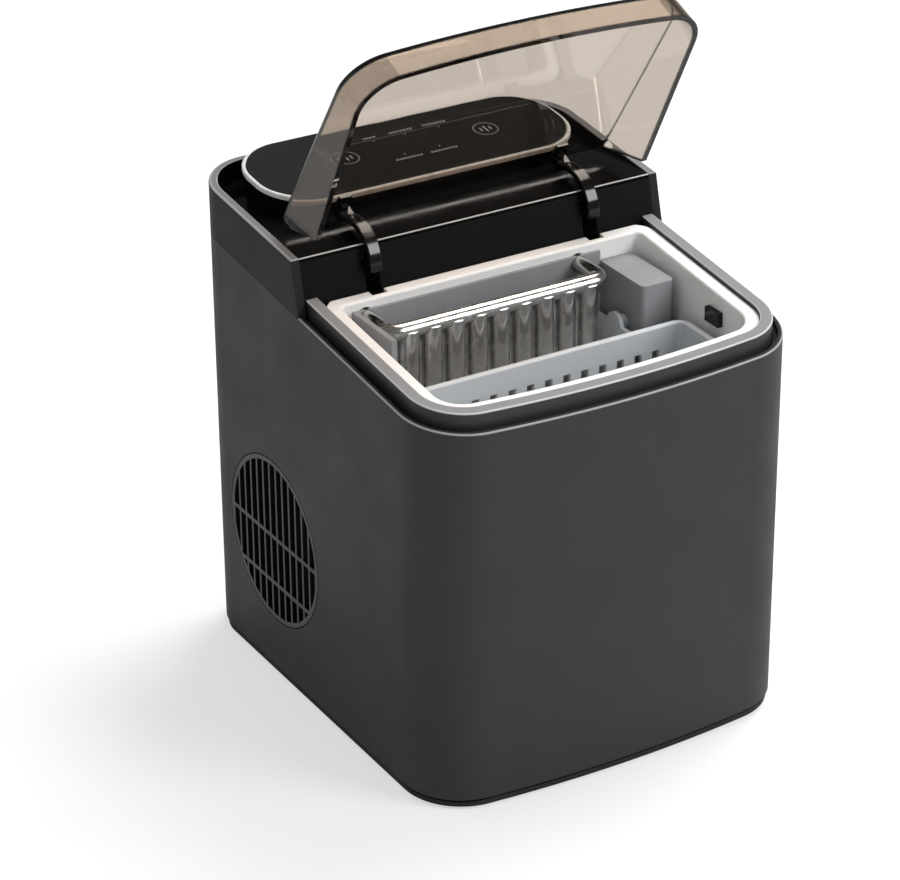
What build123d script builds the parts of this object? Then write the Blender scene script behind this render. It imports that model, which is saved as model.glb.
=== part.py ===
from build123d import *
import os
from math import cos, radians, sin, tan

os.makedirs("parts", exist_ok=True)

# Casing
WIDTH = 222.0
DEPTH = 258.0
FRONT_BOW = 8.3
FRONT_CORNER = 35.0
REAR_CORNER = 31.0
SKIN = 2.6
CASE_BOTTOM = 6.0
LIP_ROUND = 1.0
FOOT_ROUND = 0.6
FLANGE_IN = 5.0
FLANGE_DROP = 3.0
FLANGE_THICK = 2.4
HALF = WIDTH / 2
Y_FRONT = -DEPTH / 2
Y_REAR = DEPTH / 2

# Sloping top edges, as height at y = 0 and rise per millimetre towards the rear
LIP_Z = 228.4
LIP_SLOPE = 0.1086
RIM_Z = 257.2
RIM_SLOPE = 0.098

# Reach of the cutting shapes, past every face of the machine
SIDE = 150.0
FAR = 220.0
LOW = -60.0
HIGH = 320.0
PAST = 1.0
LAP = 0.5

# Base
BASE_TOP = 4.6
BASE_BOTTOM = 1.8
BASE_INSET = 1.2
BASE_RIM_TOP = 13.0
BASE_RIM_GAP = 0.4
BASE_RIM_WALL = 2.4
FOOT_SPOTS = [(-80, -85), (80, -85), (-80, 98), (80, 98)]
FOOT_R = 10.0
FOOT_STEM_R = 3.0
FOOT_STEM_TOP = 6.6
BASE_SCREW_SPOTS = [(-97, 0), (97, 0), (0, -112), (0, 112)]
BASE_SCREW_BOTTOM = 0.9
BASE_SCREW_TOP = 9.6
BASE_SCREW_HEAD_R = 3.4
SCREW_R = 2.0

# Vents
VENT_Y = 44.5
VENT_Z = 84.5
VENT_R = 48.0
VENT_GAP = 0.6
VENT_MARGIN = 2.6
SLOT_PITCH = 7.0
SLOT_WIDTH = 5.3
SLOT_COUNT = 13
VENT_RIBS = (58.4, 86.5)
VENT_RIB_HALF = 1.2

# Rear cover
WINDOW_HALF = 84.0
WINDOW_FOOT = 16.0
WINDOW_TOP = 222.0
COVER_GAP = 0.5
BACKING_HALF = 89.0
BACKING_THICK = 2.2
BACKING_TOP = 227.0
LOUVRE_ROWS = 12
LOUVRE_RISE = 9.0
LOUVRE_FOOT = 92.0
LOUVRE_X = (-48.0, 0.0, 48.0)
LOUVRE_HALF = (19.0, 1.8)
COVER_SCREW_SPOTS = [(x, z) for x in (-77, 77) for z in (24, 119, 214)]
COVER_HEAD_R = 3.6
COVER_POCKET_R = 4.0
COVER_POCKET = 1.8
COVER_SCREW_LENGTH = 10.0
DRIVE_SLOT_HALF = (2.4, 0.5)

# Power inlet
INLET_X = -60.0
INLET_Z = 44.0
INLET_HALF = (14.0, 10.0)
INLET_DEPTH = 22.0
SOCKET_HALF = (11.0, 7.0)
SOCKET_DEPTH = 16.0
INLET_FIT = 0.2
PIN_SPOTS = [(-6, -2), (6, -2), (0, 2)]
PIN_HALF = (0.8, 2.0)
PIN_SETBACK = 4.0

# Upper housing
WALL = 4.8
HOUSING_TOP_Y = 17.5
HOUSING_TOP_Z = 262.0
HOUSING_SLANT = tan(radians(14))
RIM_OUTER_ROUND = 1.5
RIM_INNER_ROUND = 0.8
FRONT_WALL = 2.6
FRONT_WALL_FOOT = 231.0
DECK_TOP = 258.5
DECK_THICK = 2.3
DECK_GAP = 0.2
DECK_ROUND = 0.7
LEDGE_REACH = 4.0
LEDGE_THICK = 3.0
SLOT_TOP = 252.5
SLOT_SIDE_GAP = 0.9

# Control pod
POD_HALF = 92.3
POD_Y0 = 57.9
POD_Y1 = 119.9
POD_CORNER = 27.0
POD_WALL = 3.0
POD_FLOOR = 2.5
RING_OUT = 1.8
RING_WIDTH = 2.4
RING_FOOT = 4.6
RING_TOP = 7.2
RING_ROUND = 0.9
GLASS_GAP = 0.15
GLASS_PROUD = 0.8
BOARD_THICK = 1.6
TOUCH_HALF = (70.0, 22.0)
SPACER_HALF = (40.0, 12.0)
SPACER_TALL = 3.0

# Basin
COLLAR_OUT = 5.5
COLLAR_IN = 12.0
COLLAR_RISE = 8.0
COLLAR_DROP = 12.0
COLLAR_REAR_Y = 13.5
COLLAR_REAR_GAP = 0.4
COLLAR_OUTER_ROUND = 0.9
COLLAR_INNER_ROUND = 0.6
LINER_IN = 20.0
LINER_WALL = 2.5
LINER_REAR = 2.5
LINER_REAR_CORNER = 4.0
LINER_RISE = 5.3
LINER_RIM_REAR = 9.0
LINER_RIM_GAP = 0.2
LINER_RIM_ROUND = 1.6
STEP_Z = 111.0
TANK_STEP = 8.0
TANK_FLOOR = 62.0
FOAM_THICK = 7.5
FOAM_GAP = 0.2
FOAM_DROP = 14.0
FOAM_FLOOR = 9.5
FOAM_REAR = 9.0
BULKHEAD_HALF = 102.0
BULKHEAD_Y = (10.0, 12.0)
BULKHEAD_TOP = 230.4
ARM_NOTCH_FOOT = 205.0

# Lid, with its pivot inside the housing
PIVOT_Y = 29.0
PIVOT_Z = 246.0
LID_INSET = 11.0
LID_REAR_Y = 20.0
LID_REAR_CORNER = 8.0
LID_TOP_Z = 273.7
LID_SLOPE = 0.226
LID_THICK = 3.0
LID_ROUND = 4.0
LID_SKIRT_GAP = 0.6
LID_SKIRT_SLANT = tan(radians(28.6))
LID_OPEN = 68.5
ARM_X = 66.0
ARM_HALF = 3.6
ARM_R_IN = 18.5
ARM_R_OUT = 21.7
ARM_ARC = (122.0, 250.0)
ARM_WEB_ARC = (232.0, 250.0)
ARM_HUB_R = 6.5
ARM_ROUND = 0.7
TONGUE_Y = (5.0, 17.3)
TONGUE_THICK = 2.0
RISER_FRONT = 13.0
ARM_SCREW_Y = 9.2
ARM_SCREW_R = 1.6
ARM_SCREW_HEAD_R = 2.8
ARM_SCREW_HEAD = 1.85
ARM_SCREW_SINK = 1.1
SHAFT_R = 3.0
SHAFT_HALF = 81.0
HINGE_BLOCK_OFFSET = 10.0
HINGE_BLOCK_HALF = (3.0, 7.0)
FIT = 0.05

# Ice maker inside the basin
TRAY_Y = -22.0
TRAY_Z = 197.0
TRAY_R = 22.0
TRAY_WALL = 2.0
TRAY_END = 2.5
TRAY_HUB_R = 6.5
TRAY_X0 = -79.0
TRAY_X1 = 62.0
STUB_R = 4.0
STUB_LEFT = 4.6
STUB_RIGHT = 8.0
TUBE_R = 4.5
TUBE_Z = 224.5
TUBE_END_Y = 22.0
TUBE_BEND = 6.0
LEG_X = (-76.2, 52.0)
FINGER_R = 5.5
FINGER_PITCH = 13.5
FINGER_COUNT = 9
FINGER_X0 = -65.0
FINGER_TIP = 182.0
CHEEK_GAP = 2.0
CHEEK_THICK = 3.0
CHEEK_FRONT = -38.0
CHEEK_FOOT = 186.0
BRACKET_TOP = 229.0
BRACKET_STRIP_Y = 0.6
BRACKET_STRIP_FOOT = 205.0
BRACKET_STRIP_END = 65.5
MOTOR_GAP = 4.0
MOTOR_LONG = 20.0
MOTOR_FRONT = -39.0
MOTOR_Z = (179.0, 223.0)
MOTOR_ROUND = 3.0
MOTOR_SOCKET = 0.6

# Basket
BASKET_HALF = 84.0
BASKET_Y0 = -103.0
BASKET_Y1 = -50.0
BASKET_Z0 = 111.4
BASKET_Z1 = 205.0
BASKET_WALL = 2.2
BASKET_CORNER = 6.0
BEAD_OUT = 1.6
BEAD_TALL = 3.0
BEAD_ROUND = 0.9
BASKET_SLOT_HALF = 2.2
BASKET_SLOT_ROWS = ((122, 150), (158, 192))
BASKET_SLOT_X = [-66 + 11 * i for i in range(13)]
BASKET_SLOT_Y = [-87 + 10.5 * i for i in range(3)]
BASKET_FLOOR_MARGIN = 10.0

# Sensors, pump and hose
EYE_DEEP = 3.0
EYE_Y = (-76.0, -64.0)
EYE_Z = (209.0, 217.0)
PUMP_X = (-78.0, -50.0)
PUMP_Y = (-36.0, -9.0)
PUMP_TALL = 22.0
PUMP_ROUND = 5.0
PUMP_SPOUT_R = 4.6
PUMP_SPOUT = 4.0
HOSE_X = -66.0
HOSE_R = 3.0
HOSE_BEND = 3.4
HOSE_WALL_X = -87.2
HOSE_TURN_Z = (122.0, 146.0)
HOSE_TOP_Z = 210.0
HOSE_HOLE_R = 3.2
LEVEL_X = (58.0, 70.0)
LEVEL_Y = (-22.0, -12.0)
LEVEL_TALL = 20.0
LEVEL_ROUND = 2.0

# Drain
DRAIN_Y = -60.0
DRAIN_Z = 72.0
DRAIN_BORE = 5.0
CUP_R = 12.6
CUP_WALL = 2.0
CUP_FLOOR_X = 98.0
CUP_SINK = 0.6
CUP_HOLE_R = 13.0
PLUG_FLANGE_R = 9.0
PLUG_FLANGE_X = 102.0
PLUG_TAB_X = 109.5
PLUG_TAB_HALF = (5.0, 1.6)

# Compressor
COMP_X = 38.0
COMP_Y = 70.0
COMP_R = 46.0
COMP_Z = (20.0, 112.0)
COMP_ROUND = 18.0
COMP_NECK_R = 22.0
COMP_NECK_Z = (16.0, 28.0)
FOOT_PLATE_Z = (14.0, 16.5)
FOOT_BAR_HALF = 52.0
FOOT_BAR_Y = (-48.0, -32.0)
FOOT_TONGUE_HALF = 9.0
FOOT_TONGUE_END = 50.0
MOUNT_SPOTS = [(COMP_X - 44, COMP_Y - 40), (COMP_X + 44, COMP_Y - 40), (COMP_X, COMP_Y + 42)]
MOUNT_R = 8.0
MOUNT_PIN_R = 3.0
MOUNT_PIN_TOP = 18.5
STUB_TOP = 124.0
STUB_FOOT = 108.0
OUT_STUB = (-16.0, 12.0, 4.0)
IN_STUB = (24.0, -10.0, 5.0)
TERMINAL_HALF = 15.0
TERMINAL_Y = (-54.0, -34.0)
TERMINAL_Z = (48.0, 84.0)

# Condenser
FIN_X = (-104.0, -84.0)
FIN_Y0 = 21.0
FIN_COUNT = 25
FIN_PITCH = 3.0
FIN_THICK = 0.7
FIN_Z = (42.0, 129.0)
FIN_TIES = ((44.0, 47.0), (124.0, 127.0))
FIN_TIE_THICK = 1.2
FIN_Y1 = 94.5
PASS_Z = (54, 70, 86, 102, 118)
PASS_X = -94.0
PASS_R = 3.0
PASS_BEND = 6.0
PASS_OVER = (6.0, 9.0, 18.0)

# Fan
FAN_Y = 58.0
FAN_Z = 84.5
FAN_R = 33.0
SHROUD_X = (-82.5, -80.5)
SHROUD_Y = (20.0, 97.0)
SHROUD_Z = (44.0, 127.0)
SHROUD_END = -58.0
SHROUD_GAP = 4.0
SHROUD_WALL = 1.6
FAN_HUB_X = (-77.0, -62.0)
FAN_HUB_R = 11.0
FAN_MID_X = -69.5
BLADE_COUNT = 5
BLADE_SIZE = (1.8, 17.0, 23.0)
BLADE_MID = 21.5
BLADE_PITCH = 34.0
FAN_SHAFT_R = 2.5
FAN_SHAFT_END = -50.0
FAN_MOTOR_X = (-56.0, -30.0)
FAN_MOTOR_R = 17.0
SPIDER_X = (-50.0, -44.0)
SPIDER_R = 19.5
SPIDER_ARMS = 3
SPIDER_ARM_SIZE = (6.0, 8.0, 22.0)
SPIDER_ARM_MID = 28.0
SPIDER_FOOT_SIZE = (14.0, 8.0, 2.4)
SPIDER_FOOT_MID = 37.4
SPIDER_FOOT_X = -51.0

# Refrigerant parts and boards
DRIER_SPOT = (-78.0, 106.0)
DRIER_Z = (140.0, 205.0)
DRIER_R = 8.0
DRIER_ROUND = 5.0
VALVE_X = (4.0, 28.0)
VALVE_Y = (92.0, 114.0)
VALVE_Z = (160.0, 184.0)
COIL_TOP = 204.0
COIL_R = 9.0
LINE_BEND = 8.0
DISCHARGE_R = 3.0
DISCHARGE_Z = 144.0
SUCTION_R = 4.0
SUCTION_Y = 36.0
SUCTION_Z = 160.0
CAPILLARY_R = 1.6
CAPILLARY_BEND = 5.0
CAPILLARY_Z = 216.0
BOARD_X = (-62.0, -2.0)
BOARD_Y = (116.0, 117.6)
BOARD_Z = (140.0, 212.0)
BOARD_BLOCKS = ((-48, 196, 14, 14, 9), (-24, 200, 20, 9, 6), (-44, 160, 20, 26, 14), (-16, 164, 16, 16, 8))
STANDOFF_SPOTS = [(x, z) for x in (-58, -6) for z in (144, 208)]
STANDOFF_R = 3.0


def box(x0, x1, y0, y1, z0, z1):
    return Pos((x0 + x1) / 2, (y0 + y1) / 2, (z0 + z1) / 2) * Box(x1 - x0, y1 - y0, z1 - z0)


def rod_x(x0, x1, y, z, r):
    return Pos((x0 + x1) / 2, y, z) * Rot(0, 90, 0) * Cylinder(r, x1 - x0)


def rod_y(y0, y1, x, z, r):
    return Pos(x, (y0 + y1) / 2, z) * Rot(90, 0, 0) * Cylinder(r, y1 - y0)


def rod_z(z0, z1, x, y, r):
    return Pos(x, y, (z0 + z1) / 2) * Cylinder(r, z1 - z0)


def prism_x(points, x0, x1):
    """Solid from an outline in Y and Z, drawn out along X."""
    face = make_face(Polyline(*[(x0, y, z) for y, z in points], close=True))
    return extrude(face, amount=x1 - x0, dir=(1, 0, 0))


def below(z0, slope):
    """Everything under a plane that rises towards the rear."""
    front = (-FAR, z0 - slope * FAR)
    rear = (FAR, z0 + slope * FAR)
    return prism_x([(-FAR, LOW), (FAR, LOW), rear, front], -SIDE, SIDE)


def band(z0, slope, low, high):
    return below(z0 + high, slope) - below(z0 + low, slope)


def ahead_of(y):
    """Everything in front of an upright plane."""
    return box(-SIDE, SIDE, -FAR, y, LOW, HIGH)


def behind(gap=0.0):
    """Everything behind the slanted front of the upper housing."""
    def y_at(z):
        return HOUSING_TOP_Y + gap - (HOUSING_TOP_Z - z) * HOUSING_SLANT
    return prism_x([(y_at(LOW), LOW), (y_at(HIGH), HIGH), (FAR, HIGH), (FAR, LOW)], -SIDE, SIDE)


front_arc = ThreePointArc((-HALF, Y_FRONT + FRONT_BOW), (0, Y_FRONT), (HALF, Y_FRONT + FRONT_BOW))
back_line = Polyline(
    (HALF, Y_FRONT + FRONT_BOW), (HALF, Y_REAR), (-HALF, Y_REAR), (-HALF, Y_FRONT + FRONT_BOW)
)
sharp = make_face([front_arc] + list(back_line.edges()))
front_corners = sharp.vertices().filter_by_position(Axis.Y, -FAR, 0)
rounded_front = fillet(front_corners, FRONT_CORNER)
rear_corners = rounded_front.vertices().filter_by_position(Axis.Y, Y_REAR - PAST, Y_REAR + PAST)
PLAN = fillet(rear_corners, REAR_CORNER)
OUTLINE = PLAN.faces()[0].outer_wire()


def plan(inset):
    if inset == 0:
        return PLAN
    return offset(PLAN, amount=-inset)


def ring(outer, inner, z0, z1):
    return extrude(Pos(0, 0, z0) * (plan(outer) - plan(inner)), amount=z1 - z0)


def slab(inset, z0, z1):
    return extrude(Pos(0, 0, z0) * plan(inset), amount=z1 - z0)


def edges_at(shape, z0, slope, inset):
    """Edges in a sloping plane that run at one distance inside the casing's outline."""
    near = 0.02
    found = []
    for edge in shape.edges():
        spots = [edge.position_at(share) for share in (0.0, 0.5, 1.0)]
        in_plane = all(abs(p.Z - z0 - slope * p.Y) < near for p in spots)
        if in_plane and all(abs(OUTLINE.distance_to(Vertex(p.X, p.Y, 0)) - inset) < near for p in spots):
            found.append(edge)
    return found


def rounded_block(x_half, y0, y1, z0, z1, r):
    face = Pos(0, (y0 + y1) / 2, z0) * RectangleRounded(2 * x_half, y1 - y0, r)
    return extrude(face, amount=z1 - z0)


def pipe(points, r, bend):
    """Round tube along a path with rounded bends."""
    path = FilletPolyline(*points, radius=bend)
    start = Vector(*points[0])
    way = (Vector(*points[1]) - start).normalized()
    return sweep(Plane(origin=start, z_dir=way) * Circle(r), path=path)


def arm_gap(side, y0, y1, z0, z1):
    """The room that a lid arm needs where it passes through a wall."""
    reach = ARM_HALF + SLOT_SIDE_GAP
    return box(side * ARM_X - reach, side * ARM_X + reach, y0, y1, z0, z1)


def save(shape, name):
    export_step(shape, "parts/" + name + ".step")


# Body casing: a wrap of skin with a rounded lip and a narrow flange turned in below it
casing = ring(0, SKIN, CASE_BOTTOM, HIGH) & below(LIP_Z, LIP_SLOPE)
casing = fillet(edges_at(casing, LIP_Z, LIP_SLOPE, 0), LIP_ROUND)
casing = fillet(edges_at(casing, CASE_BOTTOM, 0, 0), FOOT_ROUND)
flange_band = band(LIP_Z - FLANGE_DROP, LIP_SLOPE, -FLANGE_THICK, 0)
casing += ring(SKIN - LAP, FLANGE_IN, CASE_BOTTOM, HIGH) & flange_band
casing -= rod_x(-HALF - PAST, HALF + PAST, VENT_Y, VENT_Z, VENT_R + VENT_GAP)
casing -= rod_x(HALF - 2 * SKIN, HALF + PAST, DRAIN_Y, DRAIN_Z, CUP_HOLE_R)
casing -= box(-WINDOW_HALF, WINDOW_HALF, Y_REAR - 2 * SKIN, Y_REAR + PAST, WINDOW_FOOT, WINDOW_TOP)
save(casing, "body_casing")

# Base tray: a plate with a low wall inside the casing
rim_out = SKIN + BASE_RIM_GAP
base = slab(BASE_INSET, BASE_BOTTOM, BASE_TOP)
base += ring(rim_out, rim_out + BASE_RIM_WALL, BASE_TOP - LAP, BASE_RIM_TOP)
for fx, fy in FOOT_SPOTS:
    base -= rod_z(0, BASE_RIM_TOP, fx, fy, FOOT_STEM_R)
for sx, sy in BASE_SCREW_SPOTS:
    base -= rod_z(0, BASE_RIM_TOP, sx, sy, SCREW_R)
save(base, "base_tray")

feet = []
for fx, fy in FOOT_SPOTS:
    stem = rod_z(BASE_BOTTOM - LAP, FOOT_STEM_TOP, fx, fy, FOOT_STEM_R)
    feet.append(rod_z(0, BASE_BOTTOM, fx, fy, FOOT_R) + stem)
save(Compound(children=feet), "rubber_feet")

base_screws = []
for sx, sy in BASE_SCREW_SPOTS:
    shank = rod_z(BASE_BOTTOM - LAP, BASE_SCREW_TOP, sx, sy, SCREW_R)
    base_screws.append(rod_z(BASE_SCREW_BOTTOM, BASE_BOTTOM, sx, sy, BASE_SCREW_HEAD_R) + shank)
save(Compound(children=base_screws), "base_screws")


# Vent grilles: round plates with upright slots, crossed by ribs
def grille(side):
    x0, x1 = sorted((side * HALF, side * (HALF - SKIN)))
    plate = rod_x(x0, x1, VENT_Y, VENT_Z, VENT_R)
    window = rod_x(x0 - PAST, x1 + PAST, VENT_Y, VENT_Z, VENT_R - VENT_MARGIN)
    cuts = None
    for i in range(SLOT_COUNT):
        y = VENT_Y + (i - (SLOT_COUNT - 1) / 2) * SLOT_PITCH - SLOT_WIDTH / 2
        slot = box(x0 - PAST, x1 + PAST, y, y + SLOT_WIDTH, VENT_Z - VENT_R, VENT_Z + VENT_R)
        cuts = slot if cuts is None else cuts + slot
    for z in VENT_RIBS:
        rib_y = (VENT_Y - VENT_R, VENT_Y + VENT_R)
        cuts -= box(x0 - 2 * PAST, x1 + 2 * PAST, *rib_y, z - VENT_RIB_HALF, z + VENT_RIB_HALF)
    return plate - (cuts & window)


save(grille(-1), "vent_grille_left")
save(grille(1), "vent_grille_right")

# Rear cover: a plate in the casing's rear opening, with louvres and a window for the inlet
cover_half = WINDOW_HALF - COVER_GAP
cover_in = Y_REAR - SKIN
cover = box(-cover_half, cover_half, cover_in, Y_REAR, WINDOW_FOOT + COVER_GAP, WINDOW_TOP - COVER_GAP)
backing_foot = BASE_RIM_TOP + BASE_RIM_GAP
backing = box(-BACKING_HALF, BACKING_HALF, cover_in - BACKING_THICK, cover_in, backing_foot, BACKING_TOP)
cover += backing & slab(SKIN, LOW, HIGH)
through = (Y_REAR - 2 * SKIN - PAST, Y_REAR + PAST)
for row in range(LOUVRE_ROWS):
    z = LOUVRE_FOOT + LOUVRE_RISE * row
    for x in LOUVRE_X:
        half_x, half_z = LOUVRE_HALF
        cover -= box(x - half_x, x + half_x, *through, z - half_z, z + half_z)
inlet_x = (INLET_X - INLET_HALF[0], INLET_X + INLET_HALF[0])
inlet_z = (INLET_Z - INLET_HALF[1], INLET_Z + INLET_HALF[1])
cover -= box(*inlet_x, *through, *inlet_z)
for sx, sz in COVER_SCREW_SPOTS:
    cover -= rod_y(*through, sx, sz, SCREW_R)
    cover -= rod_y(Y_REAR - COVER_POCKET, Y_REAR + PAST, sx, sz, COVER_POCKET_R)
save(cover, "rear_cover")

cover_screws = []
head_out = Y_REAR - INLET_FIT
for sx, sz in COVER_SCREW_SPOTS:
    half_x, half_z = DRIVE_SLOT_HALF
    head = rod_y(Y_REAR - COVER_POCKET, head_out, sx, sz, COVER_HEAD_R)
    head -= box(sx - half_x, sx + half_x, Y_REAR - PAST, Y_REAR, sz - half_z, sz + half_z)
    cover_screws.append(head + rod_y(Y_REAR - COVER_SCREW_LENGTH, Y_REAR - COVER_POCKET, sx, sz, SCREW_R))
save(Compound(children=cover_screws), "rear_cover_screws")

# Power inlet: a socket body set in the rear cover, with three pins in its recess
socket_x = (INLET_X - SOCKET_HALF[0], INLET_X + SOCKET_HALF[0])
socket_z = (INLET_Z - SOCKET_HALF[1], INLET_Z + SOCKET_HALF[1])
body_x = (inlet_x[0] + INLET_FIT, inlet_x[1] - INLET_FIT)
body_z = (inlet_z[0] + INLET_FIT, inlet_z[1] - INLET_FIT)
inlet = box(*body_x, Y_REAR - INLET_DEPTH, head_out, *body_z)
inlet -= box(*socket_x, Y_REAR - SOCKET_DEPTH, Y_REAR + PAST, *socket_z)
for dx, dz in PIN_SPOTS:
    pin_x, pin_z = INLET_X + dx, INLET_Z + dz
    half_x, half_z = PIN_HALF
    pin_y = (Y_REAR - SOCKET_DEPTH - LAP, Y_REAR - PIN_SETBACK)
    inlet += box(pin_x - half_x, pin_x + half_x, *pin_y, pin_z - half_z, pin_z + half_z)
save(inlet, "power_inlet")

# Upper housing: the raised wall at the rear and the front wall with the two arm slots
housing = (ring(0, WALL, CASE_BOTTOM, HIGH) & below(RIM_Z, RIM_SLOPE) & behind()) - below(LIP_Z, LIP_SLOPE)
housing = fillet(edges_at(housing, RIM_Z, RIM_SLOPE, 0), RIM_OUTER_ROUND)
housing = fillet(edges_at(housing, RIM_Z, RIM_SLOPE, WALL), RIM_INNER_ROUND)
deck_foot = DECK_TOP - DECK_THICK
wall_half = HALF - WALL + LAP
front_wall = behind() - behind(FRONT_WALL)
front_wall &= box(-wall_half, wall_half, -FAR, FAR, FRONT_WALL_FOOT, deck_foot)
ledge = ring(WALL - LAP, WALL + LEDGE_REACH, deck_foot - LEDGE_THICK, deck_foot) & behind(LAP)
housing = housing + front_wall + ledge
for side in (-1, 1):
    housing -= arm_gap(side, 0, PIVOT_Y, LIP_Z - COLLAR_DROP, SLOT_TOP)
save(housing, "upper_housing")

# Deck panel: the recessed top inside the wall, with a softened front edge
deck = slab(WALL + DECK_GAP, deck_foot, DECK_TOP) & behind()
deck_front = deck.edges().filter_by(Axis.X).filter_by_position(Axis.Z, DECK_TOP - LAP, DECK_TOP + LAP)
deck = fillet(deck_front.sort_by(Axis.Y)[0], DECK_ROUND)
save(deck, "deck_panel")


# Control pod: a cap, its trim ring, its glass and the touch board under it, all along the rim's slope
def pod_block(grow, low, high):
    block = rounded_block(POD_HALF + grow, POD_Y0 - grow, POD_Y1 + grow, DECK_TOP, HIGH, POD_CORNER + grow)
    return block & band(RIM_Z, RIM_SLOPE, low, high)


def edges_in(shape, z0, slope):
    """Edges that lie in a sloping plane."""
    near = 0.02
    found = []
    for edge in shape.edges():
        spots = [edge.position_at(share) for share in (0.0, 0.5, 1.0)]
        if all(abs(p.Z - z0 - slope * p.Y) < near for p in spots):
            found.append(edge)
    return found


pod = pod_block(0, -FAR, RING_FOOT)
pod -= pod_block(-POD_WALL, -FAR, RING_TOP) & box(-SIDE, SIDE, -FAR, FAR, DECK_TOP + POD_FLOOR, HIGH)
save(pod, "control_pod")
ring_in = RING_OUT - RING_WIDTH
trim = pod_block(RING_OUT, RING_FOOT, RING_TOP) - pod_block(ring_in, RING_FOOT - PAST, RING_TOP + PAST)
trim = fillet(edges_in(trim, RIM_Z + RING_TOP, RIM_SLOPE), RING_ROUND)
save(trim, "panel_trim_ring")
save(pod_block(ring_in - GLASS_GAP, RING_FOOT, RING_TOP + GLASS_PROUD), "panel_glass")
pod_mid = (POD_Y0 + POD_Y1) / 2
touch_x, touch_y = TOUCH_HALF
spacer_x, spacer_y = SPACER_HALF
touch_top = RING_FOOT - SPACER_TALL
board_room = box(-touch_x, touch_x, pod_mid - touch_y, pod_mid + touch_y, LOW, HIGH)
spacer_room = box(-spacer_x, spacer_x, pod_mid - spacer_y, pod_mid + spacer_y, LOW, HIGH)
touch = board_room & band(RIM_Z, RIM_SLOPE, touch_top - BOARD_THICK, touch_top)
touch += spacer_room & band(RIM_Z, RIM_SLOPE, touch_top - FIT, RING_FOOT)
save(touch, "touch_board")

# Basin collar: the dark rim that stands above the lip
collar_top = LIP_Z + COLLAR_RISE
collar = ring(COLLAR_OUT, COLLAR_IN, CASE_BOTTOM, HIGH) & band(LIP_Z, LIP_SLOPE, -COLLAR_DROP, COLLAR_RISE)
collar = (collar - behind(-COLLAR_REAR_GAP)) & ahead_of(COLLAR_REAR_Y)
collar = fillet(edges_at(collar, collar_top, LIP_SLOPE, COLLAR_OUT), COLLAR_OUTER_ROUND)
collar = fillet(edges_at(collar, collar_top, LIP_SLOPE, COLLAR_IN), COLLAR_INNER_ROUND)
save(collar, "basin_collar")

# Basin liner: rim, upper tub, step for the basket and the water tank below
tub_full = plan(LINER_IN) & (Pos(0, LINER_REAR - FAR, 0) * Rectangle(2 * FAR, 2 * FAR))
tub_rear = tub_full.vertices().filter_by_position(Axis.Y, LINER_REAR - LAP, LINER_REAR + LAP)
TUB = fillet(tub_rear, LINER_REAR_CORNER)


def tub(grow, z0, z1):
    face = TUB if grow == 0 else offset(TUB, amount=grow)
    return extrude(Pos(0, 0, z0) * face, amount=z1 - z0)


liner_top = LIP_Z + LINER_RISE
liner = tub(LINER_WALL, STEP_Z - LINER_WALL, HIGH) - tub(0, STEP_Z, HIGH + PAST)
liner &= below(liner_top, LIP_SLOPE)
rim_reach = LINER_IN - COLLAR_IN - LINER_RIM_GAP
rim = tub(rim_reach, STEP_Z, HIGH) - tub(0, STEP_Z - PAST, HIGH + PAST)
rim &= band(liner_top, LIP_SLOPE, -LINER_WALL, 0) & ahead_of(LINER_RIM_REAR)
for side in (-1, 1):
    rim -= arm_gap(side, LINER_REAR + LINER_WALL, PIVOT_Y, LOW, HIGH)
liner += rim
liner = fillet(edges_at(liner, liner_top, LIP_SLOPE, LINER_IN), LINER_RIM_ROUND)
tank_out = LINER_WALL - TANK_STEP
liner -= tub(-TANK_STEP, TANK_FLOOR, STEP_Z + PAST)
tank = tub(tank_out, TANK_FLOOR - LINER_WALL, STEP_Z - LINER_WALL)
liner += tank - tub(-TANK_STEP, TANK_FLOOR, STEP_Z)
for lx in LEG_X:
    liner -= rod_y(0, PIVOT_Y, lx, TUBE_Z, TUBE_R + SLOT_SIDE_GAP)
tank_wall = HALF - LINER_IN - TANK_STEP
liner -= rod_x(tank_wall - SKIN, HALF, DRAIN_Y, DRAIN_Z, DRAIN_BORE)
save(liner, "basin_liner")

# Foam insulation round the tub and under the tank
foam_in = LINER_WALL + FOAM_GAP
foam_foot = TANK_FLOOR - FOAM_FLOOR - LINER_WALL
foam = tub(foam_in + FOAM_THICK, foam_foot, HIGH) - tub(foam_in, TANK_FLOOR - LINER_WALL, HIGH + PAST)
foam &= below(LIP_Z - FOAM_DROP, LIP_SLOPE) & ahead_of(FOAM_REAR)
foam -= rod_x(tank_wall - SKIN, HALF, DRAIN_Y, DRAIN_Z, CUP_R + BASE_RIM_GAP)
save(foam, "foam_insulation")

# Bulkhead between the basin and the machine compartment
bulkhead = box(-BULKHEAD_HALF, BULKHEAD_HALF, *BULKHEAD_Y, BASE_TOP, BULKHEAD_TOP)
leg_gap = TUBE_R + PAST
for lx in LEG_X:
    bulkhead -= box(lx - leg_gap, lx + leg_gap, 0, PIVOT_Y, TUBE_Z - leg_gap, HIGH)
for side in (-1, 1):
    bulkhead -= arm_gap(side, 0, PIVOT_Y, ARM_NOTCH_FOOT, HIGH)
save(bulkhead, "bulkhead")

# Evaporator: a tube with hanging fingers, held by a bracket on the rear wall of the tub
left_leg, right_leg = LEG_X
tube_path = [(left_leg, TUBE_END_Y, TUBE_Z), (left_leg, TRAY_Y, TUBE_Z),
             (right_leg, TRAY_Y, TUBE_Z), (right_leg, TUBE_END_Y, TUBE_Z)]
evaporator = pipe(tube_path, TUBE_R, TUBE_BEND)
save(evaporator, "evaporator_tube")

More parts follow.
